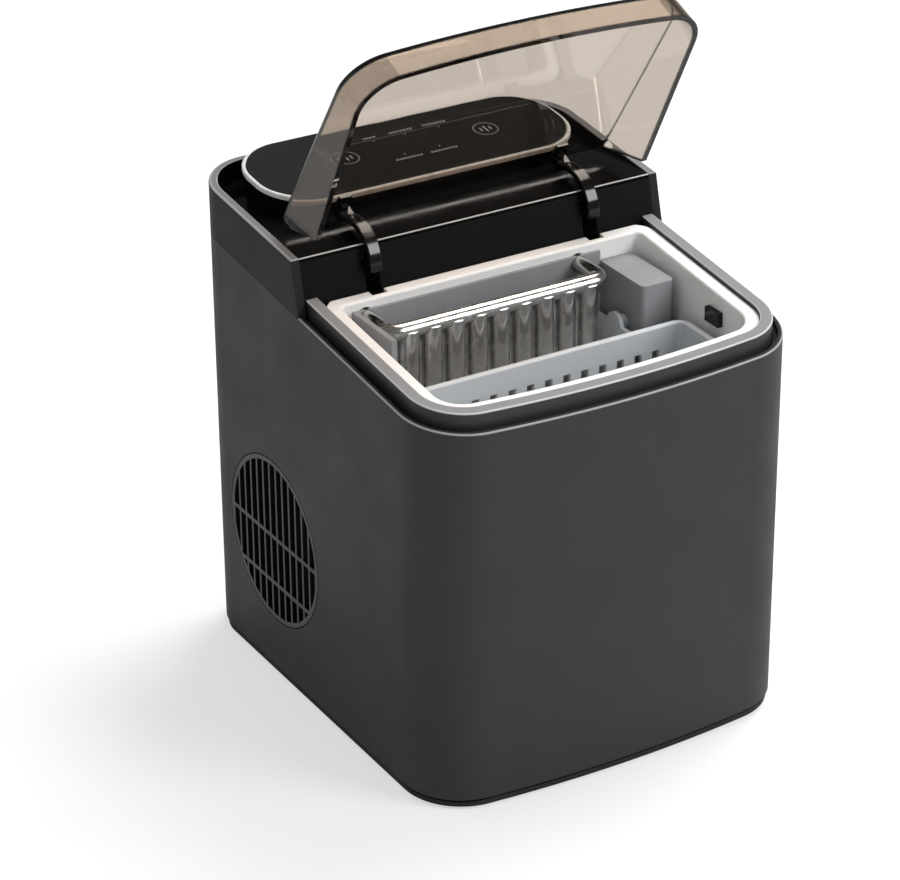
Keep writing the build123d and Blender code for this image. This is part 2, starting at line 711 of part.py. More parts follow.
fingers = []
for i in range(FINGER_COUNT):
    x = FINGER_X0 + FINGER_PITCH * i
    finger = rod_z(FINGER_TIP + FINGER_R, TUBE_Z, x, TRAY_Y, FINGER_R)
    finger += Pos(x, TRAY_Y, FINGER_TIP + FINGER_R) * Sphere(FINGER_R)
    fingers.append(finger - evaporator)
save(Compound(children=fingers), "evaporator_fingers")

cheek_in = TRAY_X0 - CHEEK_GAP
cheek_out = cheek_in - CHEEK_THICK
bracket = box(cheek_out, cheek_in, CHEEK_FRONT, LINER_REAR, CHEEK_FOOT, BRACKET_TOP)
bracket += box(cheek_out, BRACKET_STRIP_END, BRACKET_STRIP_Y, LINER_REAR, BRACKET_STRIP_FOOT, BRACKET_TOP)
for lx in LEG_X:
    bracket -= rod_y(-LINER_REAR, 2 * LINER_REAR, lx, TUBE_Z, TUBE_R + 2 * FIT)
bracket -= rod_x(cheek_out - PAST, cheek_in + PAST, TRAY_Y, TRAY_Z, STUB_R + FIT)
bracket -= rod_x(cheek_out - PAST, cheek_in + PAST, TRAY_Y, HOSE_TOP_Z, HOSE_HOLE_R)
save(bracket, "evaporator_bracket")

# Water tray: a trough that turns about its own axis, with a stub shaft at each end
tray = rod_x(TRAY_X0, TRAY_X1, TRAY_Y, TRAY_Z, TRAY_R)
tray -= rod_x(TRAY_X0 + TRAY_END, TRAY_X1 - TRAY_END, TRAY_Y, TRAY_Z, TRAY_R - TRAY_WALL)
tray &= box(-SIDE, SIDE, -FAR, FAR, LOW, TRAY_Z)
for x0, x1 in ((TRAY_X0, TRAY_X0 + TRAY_END), (TRAY_X1 - TRAY_END, TRAY_X1)):
    tray += rod_x(x0, x1, TRAY_Y, TRAY_Z, TRAY_HUB_R)
tray += rod_x(TRAY_X0 - STUB_LEFT, TRAY_X0 + LAP, TRAY_Y, TRAY_Z, STUB_R)
tray += rod_x(TRAY_X1 - LAP, TRAY_X1 + STUB_RIGHT, TRAY_Y, TRAY_Z, STUB_R)
save(tray, "water_tray")

# Tray gearmotor in its sealed box at the right end
motor_x = TRAY_X1 + MOTOR_GAP
motor = box(motor_x, motor_x + MOTOR_LONG, MOTOR_FRONT, LINER_REAR, *MOTOR_Z)
motor = fillet(motor.edges().filter_by(Axis.Z), MOTOR_ROUND)
motor -= rod_x(TRAY_X1, TRAY_X1 + STUB_RIGHT + MOTOR_SOCKET, TRAY_Y, TRAY_Z, STUB_R + FIT)
save(motor, "tray_gearmotor")


# Ice basket: slotted tub that stands on the step of the liner
def basket_block(grow, z0, z1):
    return rounded_block(BASKET_HALF + grow, BASKET_Y0 - grow, BASKET_Y1 + grow, z0, z1, BASKET_CORNER + grow)


basket = basket_block(0, BASKET_Z0, BASKET_Z1) + basket_block(BEAD_OUT, BASKET_Z1 - BEAD_TALL, BASKET_Z1)
basket -= basket_block(-BASKET_WALL, BASKET_Z0 + BASKET_WALL, BASKET_Z1 + PAST)
basket = fillet(basket.edges().filter_by_position(Axis.Z, BASKET_Z1 - FIT, BASKET_Z1 + FIT), BEAD_ROUND)
wall_slots = None
for x in BASKET_SLOT_X:
    slot_x = (x - BASKET_SLOT_HALF, x + BASKET_SLOT_HALF)
    floor_y = (BASKET_Y0 + BASKET_FLOOR_MARGIN, BASKET_Y1 - BASKET_FLOOR_MARGIN)
    slot = box(*slot_x, *floor_y, BASKET_Z0 - PAST, BASKET_Z0 + BASKET_WALL + PAST)
    wall_slots = slot if wall_slots is None else wall_slots + slot
    for z0, z1 in BASKET_SLOT_ROWS:
        wall_slots += box(*slot_x, BASKET_Y0 - PAST, BASKET_Y1 + PAST, z0, z1)
for y in BASKET_SLOT_Y:
    for z0, z1 in BASKET_SLOT_ROWS:
        slot_y = (y - BASKET_SLOT_HALF, y + BASKET_SLOT_HALF)
        wall_slots += box(-BASKET_HALF - PAST, BASKET_HALF + PAST, *slot_y, z0, z1)
basket -= wall_slots
save(basket, "ice_basket")

eyes = []
for side in (-1, 1):
    x_wall = side * (HALF - LINER_IN)
    eye_x = sorted((x_wall, x_wall - side * EYE_DEEP))
    eyes.append(box(*eye_x, *EYE_Y, *EYE_Z))
save(Compound(children=eyes), "ice_level_sensors")

# Water pump on the tank floor, its hose, and the level sensor
pump_top = TANK_FLOOR + PUMP_TALL
hose_foot = pump_top + PUMP_SPOUT
pump = box(*PUMP_X, *PUMP_Y, TANK_FLOOR, pump_top)
pump = fillet(pump.edges().filter_by(Axis.Z), PUMP_ROUND)
pump += rod_z(pump_top - LAP, hose_foot, HOSE_X, TRAY_Y, PUMP_SPOUT_R)
save(pump, "water_pump")
hose_path = [(HOSE_X, TRAY_Y, hose_foot), (HOSE_X, TRAY_Y, HOSE_TURN_Z[0]),
             (HOSE_WALL_X, TRAY_Y, HOSE_TURN_Z[1]), (HOSE_WALL_X, TRAY_Y, HOSE_TOP_Z),
             (TRAY_X0 + 2 * TRAY_END, TRAY_Y, HOSE_TOP_Z)]
save(pipe(hose_path, HOSE_R, HOSE_BEND), "water_hose")
level = box(*LEVEL_X, *LEVEL_Y, TANK_FLOOR, TANK_FLOOR + LEVEL_TALL)
save(fillet(level.edges().filter_by(Axis.Z), LEVEL_ROUND), "water_level_sensor")

# Drain: a cup through the right side of the casing and the plug that closes it
cup = rod_x(tank_wall + LINER_WALL, HALF - CUP_SINK, DRAIN_Y, DRAIN_Z, CUP_R)
cup -= rod_x(CUP_FLOOR_X, HALF, DRAIN_Y, DRAIN_Z, CUP_R - CUP_WALL)
cup -= rod_x(tank_wall, CUP_FLOOR_X + PAST, DRAIN_Y, DRAIN_Z, DRAIN_BORE)
save(cup, "drain_cup")
plug = rod_x(tank_wall + PAST, CUP_FLOOR_X + LAP, DRAIN_Y, DRAIN_Z, DRAIN_BORE - FIT)
plug += rod_x(CUP_FLOOR_X + LAP - FIT, PLUG_FLANGE_X, DRAIN_Y, DRAIN_Z, PLUG_FLANGE_R)
tab_y, tab_z = PLUG_TAB_HALF
tab_tall = (DRAIN_Z - tab_z, DRAIN_Z + tab_z)
plug += box(PLUG_FLANGE_X - LAP, PLUG_TAB_X, DRAIN_Y - tab_y, DRAIN_Y + tab_y, *tab_tall)
save(plug, "drain_plug")

# Compressor on rubber mounts, with its terminal cover
compressor = rod_z(*COMP_Z, COMP_X, COMP_Y, COMP_R)
compressor = fillet(compressor.edges(), COMP_ROUND)
bar_y = (COMP_Y + FOOT_BAR_Y[0], COMP_Y + FOOT_BAR_Y[1])
foot_plate = box(COMP_X - FOOT_BAR_HALF, COMP_X + FOOT_BAR_HALF, *bar_y, *FOOT_PLATE_Z)
tongue_y = (COMP_Y + FOOT_BAR_Y[1] - LAP, COMP_Y + FOOT_TONGUE_END)
foot_plate += box(COMP_X - FOOT_TONGUE_HALF, COMP_X + FOOT_TONGUE_HALF, *tongue_y, *FOOT_PLATE_Z)
compressor += foot_plate + rod_z(*COMP_NECK_Z, COMP_X, COMP_Y, COMP_NECK_R)
for mx, my in MOUNT_SPOTS:
    compressor -= rod_z(BASE_TOP, COMP_Z[0], mx, my, MOUNT_PIN_R)
for dx, dy, r in (OUT_STUB, IN_STUB):
    compressor += rod_z(STUB_FOOT, STUB_TOP, COMP_X + dx, COMP_Y + dy, r)
save(compressor, "compressor")
mounts = []
for mx, my in MOUNT_SPOTS:
    pin = rod_z(FOOT_PLATE_Z[0] - LAP, MOUNT_PIN_TOP, mx, my, MOUNT_PIN_R)
    mounts.append(rod_z(BASE_TOP, FOOT_PLATE_Z[0], mx, my, MOUNT_R) + pin)
save(Compound(children=mounts), "compressor_mounts")
terminal_y = (COMP_Y + TERMINAL_Y[0], COMP_Y + TERMINAL_Y[1])
terminal = box(COMP_X - TERMINAL_HALF, COMP_X + TERMINAL_HALF, *terminal_y, *TERMINAL_Z)
terminal -= rod_z(*COMP_Z, COMP_X, COMP_Y, COMP_R)
save(terminal, "compressor_cover")

# Condenser behind the left vent: finned pack with a serpentine tube
fins = None
for i in range(FIN_COUNT):
    y = FIN_Y0 + FIN_PITCH * i
    fin = box(*FIN_X, y, y + FIN_THICK, *FIN_Z)
    fins = fin if fins is None else fins + fin
for z0, z1 in FIN_TIES:
    fins += box(FIN_X[1] - FIN_TIE_THICK, FIN_X[1], FIN_Y0, FIN_Y1, z0, z1)
for z in PASS_Z:
    fins -= rod_y(FIN_Y0 - PAST, FIN_Y1 + PAST, PASS_X, z, PASS_R)
save(fins, "condenser_fins")
front_over, rear_over, tail_over = PASS_OVER
turn_ends = (FIN_Y1 + rear_over, FIN_Y0 - front_over)
snake = [(PASS_X, FIN_Y1 + tail_over, PASS_Z[0])]
for i, z in enumerate(PASS_Z):
    near, far = turn_ends if i % 2 == 0 else turn_ends[::-1]
    if i > 0:
        snake.append((PASS_X, near, z))
    snake.append((PASS_X, far, z))
save(pipe(snake, PASS_R, PASS_BEND), "condenser_tube")

# Fan: shroud, blade on its shaft, motor and the bracket that carries the motor
tunnel_r = FAN_R + SHROUD_GAP
shroud = box(*SHROUD_X, *SHROUD_Y, *SHROUD_Z)
shroud += rod_x(SHROUD_X[0], SHROUD_END, FAN_Y, FAN_Z, tunnel_r + SHROUD_WALL)
shroud -= rod_x(SHROUD_X[0] - PAST, SHROUD_END + PAST, FAN_Y, FAN_Z, tunnel_r)
save(shroud, "fan_shroud")
fan = rod_x(*FAN_HUB_X, FAN_Y, FAN_Z, FAN_HUB_R)
fan_room = rod_x(SHROUD_X[0], SHROUD_END, FAN_Y, FAN_Z, FAN_R)
for i in range(BLADE_COUNT):
    turn = Pos(FAN_MID_X, FAN_Y, FAN_Z) * Rot(360 / BLADE_COUNT * i, 0, 0)
    blade = turn * Pos(0, 0, BLADE_MID) * Rot(0, 0, BLADE_PITCH) * Box(*BLADE_SIZE)
    fan += blade & fan_room
fan -= rod_x(FAN_HUB_X[0] - PAST, FAN_HUB_X[1] + PAST, FAN_Y, FAN_Z, FAN_SHAFT_R)
save(fan, "fan_blade")
save(rod_x(FAN_HUB_X[0], FAN_SHAFT_END, FAN_Y, FAN_Z, FAN_SHAFT_R), "fan_shaft")
fan_motor = rod_x(*FAN_MOTOR_X, FAN_Y, FAN_Z, FAN_MOTOR_R)
fan_motor -= rod_x(FAN_MOTOR_X[0] - PAST, FAN_SHAFT_END + PAST, FAN_Y, FAN_Z, FAN_SHAFT_R + FIT)
save(fan_motor, "fan_motor")
fan_bracket = rod_x(*SPIDER_X, FAN_Y, FAN_Z, SPIDER_R)
for i in range(SPIDER_ARMS):
    turn = Rot(360 / SPIDER_ARMS * i + 30, 0, 0)
    arm_x = (SPIDER_X[0] + SPIDER_X[1]) / 2
    spider_arm = turn * Pos(0, 0, SPIDER_ARM_MID) * Box(*SPIDER_ARM_SIZE)
    spider_foot = turn * Pos(0, 0, SPIDER_FOOT_MID) * Box(*SPIDER_FOOT_SIZE)
    fan_bracket += Pos(arm_x, FAN_Y, FAN_Z) * spider_arm
    fan_bracket += Pos(SPIDER_FOOT_X, FAN_Y, FAN_Z) * spider_foot
fan_bracket -= rod_x(*FAN_MOTOR_X, FAN_Y, FAN_Z, FAN_MOTOR_R)
fan_bracket -= rod_x(SHROUD_X[0], SHROUD_END + 2 * FIT, FAN_Y, FAN_Z, tunnel_r + SHROUD_WALL)
save(fan_bracket, "fan_bracket")

# Refrigerant parts: drier, hot gas valve and the lines between the pieces
save(fillet(rod_z(*DRIER_Z, *DRIER_SPOT, DRIER_R).edges(), DRIER_ROUND), "filter_drier")
coil_x, coil_y = sum(VALVE_X) / 2, sum(VALVE_Y) / 2
valve = box(*VALVE_X, *VALVE_Y, *VALVE_Z) + rod_z(VALVE_Z[1] - LAP, COIL_TOP, coil_x, coil_y, COIL_R)
save(valve, "hot_gas_valve")
out_x, out_y = COMP_X + OUT_STUB[0], COMP_Y + OUT_STUB[1]
tail_y = FIN_Y1 + tail_over
discharge_path = [(out_x, out_y, STUB_TOP), (out_x, out_y, DISCHARGE_Z), (PASS_X, out_y, DISCHARGE_Z),
                  (PASS_X, tail_y, DISCHARGE_Z), (PASS_X, tail_y, PASS_Z[0] + 2 * PASS_BEND)]
save(pipe(discharge_path, DISCHARGE_R, LINE_BEND), "discharge_line")
in_x, in_y = COMP_X + IN_STUB[0], COMP_Y + IN_STUB[1]
suction_path = [(in_x, in_y, STUB_TOP), (in_x, in_y, SUCTION_Z), (right_leg, SUCTION_Y, SUCTION_Z),
                (right_leg, SUCTION_Y, TUBE_Z), (right_leg, TUBE_END_Y, TUBE_Z)]
save(pipe(suction_path, SUCTION_R, LINE_BEND), "suction_line")
drier_x, drier_y = DRIER_SPOT
capillary_path = [(drier_x, drier_y, DRIER_Z[1]), (drier_x, drier_y, CAPILLARY_Z),
                  (drier_x, in_y, CAPILLARY_Z), (left_leg, SUCTION_Y, TUBE_Z), (left_leg, TUBE_END_Y, TUBE_Z)]
save(pipe(capillary_path, CAPILLARY_R, CAPILLARY_BEND), "capillary_tube")

# Main control board on standoffs inside the rear cover
board = box(*BOARD_X, *BOARD_Y, *BOARD_Z)
for cx, cz, wide, tall, deep in BOARD_BLOCKS:
    block_x = (cx - wide / 2, cx + wide / 2)
    board += box(*block_x, BOARD_Y[0] - deep, BOARD_Y[0] + FIT, cz - tall / 2, cz + tall / 2)
save(board, "main_control_board")
standoffs = [rod_y(BOARD_Y[1], cover_in - BACKING_THICK, x, z, STANDOFF_R) for x, z in STANDOFF_SPOTS]
save(Compound(children=standoffs), "board_standoffs")

# Hinge: a shaft under the deck, carried by four blocks
save(rod_x(-SHAFT_HALF, SHAFT_HALF, PIVOT_Y, PIVOT_Z, SHAFT_R), "hinge_shaft")
blocks = []
half_x, half_y = HINGE_BLOCK_HALF
for side in (-1, 1):
    for x in (side * (ARM_X - HINGE_BLOCK_OFFSET), side * (ARM_X + HINGE_BLOCK_OFFSET)):
        block_y = (PIVOT_Y - half_y, PIVOT_Y + half_y)
        block = box(x - half_x, x + half_x, *block_y, PIVOT_Z - half_y, deck_foot)
        blocks.append(block - rod_x(x - 2 * half_x, x + 2 * half_x, PIVOT_Y, PIVOT_Z, SHAFT_R))
save(Compound(children=blocks), "hinge_blocks")


# Lid, drawn closed and then turned about the pivot to its open rest
def lid_below(drop):
    return below(LID_TOP_Z - LID_SLOPE * LID_REAR_Y - drop, LID_SLOPE)


def lid_front():
    def y_at(z):
        return LID_REAR_Y - (LID_TOP_Z - z) * LID_SKIRT_SLANT
    return prism_x([(y_at(LOW), LOW), (y_at(HIGH), HIGH), (-FAR, HIGH), (-FAR, LOW)], -SIDE, SIDE)


def opened(shape):
    return Pos(0, PIVOT_Y, PIVOT_Z) * Rot(-LID_OPEN, 0, 0) * Pos(0, -PIVOT_Y, -PIVOT_Z) * shape


lid_plane = LID_TOP_Z - LID_SLOPE * LID_REAR_Y
skirt_foot = below(collar_top + LID_SKIRT_GAP, LIP_SLOPE)
shell = ((slab(LID_INSET, CASE_BOTTOM, HIGH) & lid_below(0)) - skirt_foot) & lid_front()
shell = fillet(edges_at(shell, lid_plane, LID_SLOPE, LID_INSET), LID_ROUND)
inner = slab(LID_INSET + LID_THICK, LOW, HIGH) & lid_below(LID_THICK)
lid_plan = rounded_block(HALF - LID_INSET, -FAR, LID_REAR_Y, LOW, HIGH, LID_REAR_CORNER)
lid = (shell - inner) & lid_plan
screw_seat = lid_plane + LID_SLOPE * ARM_SCREW_Y
screw_end = screw_seat - ARM_SCREW_SINK
for side in (-1, 1):
    lid -= rod_z(PIVOT_Z, screw_end, side * ARM_X, ARM_SCREW_Y, ARM_SCREW_R)
save(opened(lid), "lid_panel")


def sector(start, end, x0, x1):
    """Wedge of a turn about the pivot, between two angles."""
    steps = 4
    reach = 2 * ARM_R_OUT
    spots = [(PIVOT_Y, PIVOT_Z)]
    for i in range(steps + 1):
        angle = radians(start + (end - start) * i / steps)
        spots.append((PIVOT_Y + reach * cos(angle), PIVOT_Z + reach * sin(angle)))
    return prism_x(spots, x0, x1)


# Lid arms: a hoop over the deck's front edge, with a hub on the shaft and a tongue under the lid
def lid_arm(side):
    x0, x1 = side * ARM_X - ARM_HALF, side * ARM_X + ARM_HALF
    hoop = rod_x(x0, x1, PIVOT_Y, PIVOT_Z, ARM_R_OUT) - rod_x(x0, x1, PIVOT_Y, PIVOT_Z, ARM_R_IN)
    web = sector(*ARM_WEB_ARC, x0, x1) & rod_x(x0, x1, PIVOT_Y, PIVOT_Z, ARM_R_IN + LAP)
    tongue = lid_below(LID_THICK) - lid_below(LID_THICK + TONGUE_THICK)
    tongue &= box(x0, x1, *TONGUE_Y, LOW, HIGH)
    riser = box(x0, x1, RISER_FRONT, TONGUE_Y[1], PIVOT_Z, HIGH)
    riser -= rod_x(x0 - PAST, x1 + PAST, PIVOT_Y, PIVOT_Z, ARM_R_IN)
    hoop &= sector(*ARM_ARC, x0, x1)
    arcs = hoop.edges().filter_by(GeomType.CIRCLE)
    hoop = fillet([e for e in arcs if abs(e.radius - ARM_R_OUT) < FIT], ARM_ROUND)
    arm = hoop + web + rod_x(x0, x1, PIVOT_Y, PIVOT_Z, ARM_HUB_R) + riser + tongue
    arm &= lid_below(LID_THICK)
    arm -= rod_x(x0 - PAST, x1 + PAST, PIVOT_Y, PIVOT_Z, SHAFT_R + FIT)
    arm -= rod_z(PIVOT_Z, HIGH, side * ARM_X, ARM_SCREW_Y, ARM_SCREW_R)
    return arm


save(opened(lid_arm(-1)), "lid_arm_left")
save(opened(lid_arm(1)), "lid_arm_right")
seat_drop = LID_THICK + TONGUE_THICK
head_foot = screw_seat - seat_drop - ARM_SCREW_HEAD
screws = []
for side in (-1, 1):
    head = rod_z(head_foot, screw_end, side * ARM_X, ARM_SCREW_Y, ARM_SCREW_HEAD_R) & lid_below(seat_drop)
    screws.append(opened(head + rod_z(head_foot, screw_end, side * ARM_X, ARM_SCREW_Y, ARM_SCREW_R)))
save(Compound(children=screws), "lid_arm_screws")
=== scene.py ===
from math import atan, cos, radians, sin, tan

import bpy
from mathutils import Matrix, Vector


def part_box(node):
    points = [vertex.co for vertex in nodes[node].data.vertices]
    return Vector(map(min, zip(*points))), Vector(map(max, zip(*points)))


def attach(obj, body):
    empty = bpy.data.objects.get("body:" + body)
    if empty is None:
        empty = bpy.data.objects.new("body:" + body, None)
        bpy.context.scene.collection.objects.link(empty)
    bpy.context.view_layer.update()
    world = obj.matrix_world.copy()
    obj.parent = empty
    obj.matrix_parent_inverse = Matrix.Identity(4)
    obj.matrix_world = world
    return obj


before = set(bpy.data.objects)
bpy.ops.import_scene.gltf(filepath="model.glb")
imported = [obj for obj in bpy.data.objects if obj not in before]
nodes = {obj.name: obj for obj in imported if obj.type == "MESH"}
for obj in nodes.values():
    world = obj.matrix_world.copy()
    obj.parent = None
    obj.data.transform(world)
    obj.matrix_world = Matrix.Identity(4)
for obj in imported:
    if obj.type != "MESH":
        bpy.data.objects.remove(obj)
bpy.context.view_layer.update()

# Base tray
# The floor of the machine: a black plate with a low wall that stands inside the casing.
# Moulded in ABS with a coarse texture, since it is only seen as a shadow line under the casing.
BASE_BLACK = (0.012, 0.012, 0.0125)
BASE_ROUGH = 0.62
BASE_GRAIN = 0.0007
BASE_GRAIN_DEPTH = 0.00003
NOISE_LOW = 0.3
NOISE_HIGH = 0.7
NOISE_DETAIL = 3.0
DRIFT_DETAIL = 5.0
DRIFT_GRAINS = 60
EDGE_SAMPLES = 6
MOULD_EDGE = 0.0004
MOULD_DRIFT = 0.05
MOULD_SHADES = (0.92, 1.08)


def new_finish(name, colour, roughness, **shine):
    """A finish whose even values sit on the shader itself."""
    finish = bpy.data.materials.new(name)
    finish.use_nodes = True
    shader = finish.node_tree.nodes["Principled BSDF"]
    shader.inputs["Base Color"].default_value = (*colour, 1.0)
    shader.inputs["Roughness"].default_value = roughness
    for socket, value in shine.items():
        shader.inputs[socket.replace("_", " ")].default_value = value
    return finish


def shader_of(finish):
    """The shader that carries a finish."""
    return finish.node_tree.nodes["Principled BSDF"]


def own_space(tree, kind="Object"):
    """The place on the piece in its own space, or with Normal the way that the face there looks."""
    return tree.nodes.new("ShaderNodeTexCoord").outputs[kind]


def speckle(finish, size, stretch=(1.0, 1.0, 1.0), detail=NOISE_DETAIL):
    """Noise in the piece's own space, with marks of about one size, drawn out along an axis if asked."""
    tree = finish.node_tree
    turn = tree.nodes.new("ShaderNodeMapping")
    turn.inputs["Scale"].default_value = stretch
    noise = tree.nodes.new("ShaderNodeTexNoise")
    noise.inputs["Scale"].default_value = 1.0 / size
    noise.inputs["Detail"].default_value = detail
    tree.links.new(own_space(tree), turn.inputs["Vector"])
    tree.links.new(turn.outputs["Vector"], noise.inputs["Vector"])
    return noise.outputs["Fac"]


def drift(finish, pattern, socket, low, high):
    """Lets a pattern carry one value of the shader from low to high."""
    tree = finish.node_tree
    ends = tree.nodes.new("ShaderNodeMapRange")
    ends.inputs["From Min"].default_value = NOISE_LOW
    ends.inputs["From Max"].default_value = NOISE_HIGH
    ends.inputs["To Min"].default_value = low
    ends.inputs["To Max"].default_value = high
    tree.links.new(pattern, ends.inputs["Value"])
    tree.links.new(ends.outputs["Result"], shader_of(finish).inputs[socket])


def shade(finish, pattern, dark, light, start=NOISE_LOW, end=NOISE_HIGH):
    """Lets a pattern carry the colour from a dark shade to a light one."""
    tree = finish.node_tree
    ramp = tree.nodes.new("ShaderNodeValToRGB")
    first, last = ramp.color_ramp.elements
    first.position, last.position = start, end
    first.color, last.color = (*dark, 1.0), (*light, 1.0)
    tree.links.new(pattern, ramp.inputs["Fac"])
    tree.links.new(ramp.outputs["Color"], shader_of(finish).inputs["Base Color"])


def soften_edges(finish, radius):
    """Catches light along sharp edges, as a moulded or broken edge does."""
    tree = finish.node_tree
    edge = tree.nodes.new("ShaderNodeBevel")
    edge.samples = EDGE_SAMPLES
    edge.inputs["Radius"].default_value = radius
    tree.links.new(edge.outputs["Normal"], shader_of(finish).inputs["Normal"])


def emboss(finish, pattern, depth):
    """Turns a pattern into fine relief of that depth, on top of any relief already there."""
    tree = finish.node_tree
    relief = tree.nodes.new("ShaderNodeBump")
    relief.inputs["Distance"].default_value = depth
    face = shader_of(finish).inputs["Normal"]
    if face.is_linked:
        tree.links.new(face.links[0].from_socket, relief.inputs["Normal"])
    tree.links.new(pattern, relief.inputs["Height"])
    tree.links.new(relief.outputs["Normal"], face)


def scaled(colour, share):
    """A colour made darker or lighter by a share."""
    return tuple(share * part for part in colour)


def moulded(name, colour, roughness, grain, depth, edge=MOULD_EDGE, **shine):
    """Moulded plastic: tool grain, a slow drift of shine and a slight drift of colour."""
    finish = new_finish(name, colour, roughness, **shine)
    soften_edges(finish, edge)
    emboss(finish, speckle(finish, grain), depth)
    slow = speckle(finish, DRIFT_GRAINS * grain, detail=DRIFT_DETAIL)
    drift(finish, slow, "Roughness", roughness - MOULD_DRIFT, roughness + MOULD_DRIFT)
    shade(finish, slow, *(scaled(colour, share) for share in MOULD_SHADES))
    return finish


def put_on(finish, *names):
    """Gives the named pieces a finish."""
    for name in names:
        for place in nodes[name].material_slots:
            place.material = finish


base_finish = moulded("base_plastic", BASE_BLACK, BASE_ROUGH, BASE_GRAIN, BASE_GRAIN_DEPTH)
put_on(base_finish, "base_tray")

# Rubber feet, compressor mounts, inlet and terminal cover
# Black rubber and rubber-like mouldings: feet pushed into the base, and soft mounts under the compressor.
# They bloom slightly grey with age, which shows as a pale drift over the black.
RUBBER_BLACK = (0.010, 0.010, 0.010)
RUBBER_BLOOM = (0.022, 0.022, 0.021)
RUBBER_ROUGH = 0.72
RUBBER_GRAIN = 0.0005
RUBBER_GRAIN_DEPTH = 0.00004
BLOOM_SIZE = 0.011
BLOOM_START = 0.45
BLOOM_END = 0.75

rubber = moulded("rubber_black", RUBBER_BLACK, RUBBER_ROUGH, RUBBER_GRAIN, RUBBER_GRAIN_DEPTH)
shade(rubber, speckle(rubber, BLOOM_SIZE), RUBBER_BLACK, RUBBER_BLOOM, BLOOM_START, BLOOM_END)
put_on(rubber, "rubber_feet", "compressor_mounts", "compressor_cover", "power_inlet")

# Screws, shafts and small steel pieces
# Zinc-plated steel: turned shafts, stamped brackets and pan-head screws.
# The plating is bright with a faint clouding and fine marks from the die.
ZINC = (0.56, 0.57, 0.59)
ZINC_ROUGH = 0.30
ZINC_CLOUD = 0.004
DIE_MARK = 0.0006
DIE_STRETCH = (0.15, 1.0, 1.0)
DIE_DEPTH = 0.000008
PLATE_EDGE = 0.0003
PLATE_DRIFT = 0.08
PLATE_SHADES = (0.9, 1.06)


def plated(name, colour, roughness, cloud, mark, stretch, depth):
    """Plated or drawn metal: clouded shine over fine drawn marks."""
    finish = new_finish(name, colour, roughness, Metallic=1.0)
    soften_edges(finish, PLATE_EDGE)
    emboss(finish, speckle(finish, mark, stretch), depth)
    clouds = speckle(finish, cloud, detail=DRIFT_DETAIL)
    drift(finish, clouds, "Roughness", roughness - PLATE_DRIFT, roughness + PLATE_DRIFT)
    shade(finish, clouds, *(scaled(colour, share) for share in PLATE_SHADES))
    return finish


zinc = plated("steel", ZINC, ZINC_ROUGH, ZINC_CLOUD, DIE_MARK, DIE_STRETCH, DIE_DEPTH)
put_on(zinc, "base_screws", "fan_shaft", "fan_motor", "fan_bracket", "hot_gas_valve", "board_standoffs",
       "hinge_shaft", "rear_cover_screws")

# Compressor
# A drawn steel can, welded round its waist and sprayed with black enamel.
# The enamel has a light orange peel and pools a little glossier in places.
ENAMEL_BLACK = (0.012, 0.012, 0.013)
ENAMEL_ROUGH = 0.22
ORANGE_PEEL = 0.0022
ORANGE_PEEL_DEPTH = 0.00006
ENAMEL_COAT = 0.4

enamel = moulded("black_enamel", ENAMEL_BLACK, ENAMEL_ROUGH, ORANGE_PEEL, ORANGE_PEEL_DEPTH,
                 Coat_Weight=ENAMEL_COAT)
put_on(enamel, "compressor")

# Condenser fins
# A pack of thin aluminium fins pressed on the tube, dipped in black lacquer to shed heat.
# The dip leaves upright runs, thinner and paler along the fin edges.
FIN_BLACK = (0.006, 0.006, 0.006)
FIN_WORN = (0.018, 0.018, 0.018)
FIN_ROUGH = 0.6
FIN_DRIFT = 0.1
FIN_RUN = 0.002
FIN_RUN_STRETCH = (1.0, 1.0, 0.12)
FIN_RUN_DEPTH = 0.00002

fin_lacquer = new_finish("fin_aluminium", FIN_BLACK, FIN_ROUGH)
fin_runs = speckle(fin_lacquer, FIN_RUN, FIN_RUN_STRETCH)
shade(fin_lacquer, fin_runs, FIN_BLACK, FIN_WORN)
drift(fin_lacquer, fin_runs, "Roughness", FIN_ROUGH - FIN_DRIFT, FIN_ROUGH + FIN_DRIFT)
emboss(fin_lacquer, fin_runs, FIN_RUN_DEPTH)
put_on(fin_lacquer, "condenser_fins")

# Copper tubes and filter drier
# Soft copper tube, bent cold and brazed, with brown heat bloom near the joints.
# The bloom is a patchy tarnish over bright drawn copper.
COPPER = (0.72, 0.33, 0.18)
COPPER_BLOOM = (0.30, 0.13, 0.08)
COPPER_ROUGH = 0.32
COPPER_PATCH = 0.014
COPPER_MARK = 0.0008
COPPER_DEPTH = 0.00001
EVEN_MARKS = (1.0, 1.0, 1.0)
FINE_DETAIL = 6.0
TARNISH_START = 0.38
TARNISH_END = 0.62

copper = plated("copper", COPPER, COPPER_ROUGH, COPPER_PATCH, COPPER_MARK, EVEN_MARKS, COPPER_DEPTH)
tarnish = speckle(copper, COPPER_PATCH, detail=FINE_DETAIL)
shade(copper, tarnish, COPPER_BLOOM, COPPER, TARNISH_START, TARNISH_END)
put_on(copper, "condenser_tube", "discharge_line", "suction_line", "capillary_tube", "filter_drier")

# Fan
# A black plastic propeller in a shroud that draws air through the left grille and the condenser.
# Blade, shroud and hinge blocks are moulded in the same glass-filled plastic, with a faint flow pattern.
FAN_BLACK = (0.014, 0.014, 0.015)
FAN_ROUGH = 0.48
FLOW_SIZE = 0.0012
FLOW_DEPTH = 0.00003

fan_finish = moulded("fan_plastic", FAN_BLACK, FAN_ROUGH, FLOW_SIZE, FLOW_DEPTH)
put_on(fan_finish, "fan_shroud", "fan_blade", "hinge_blocks")

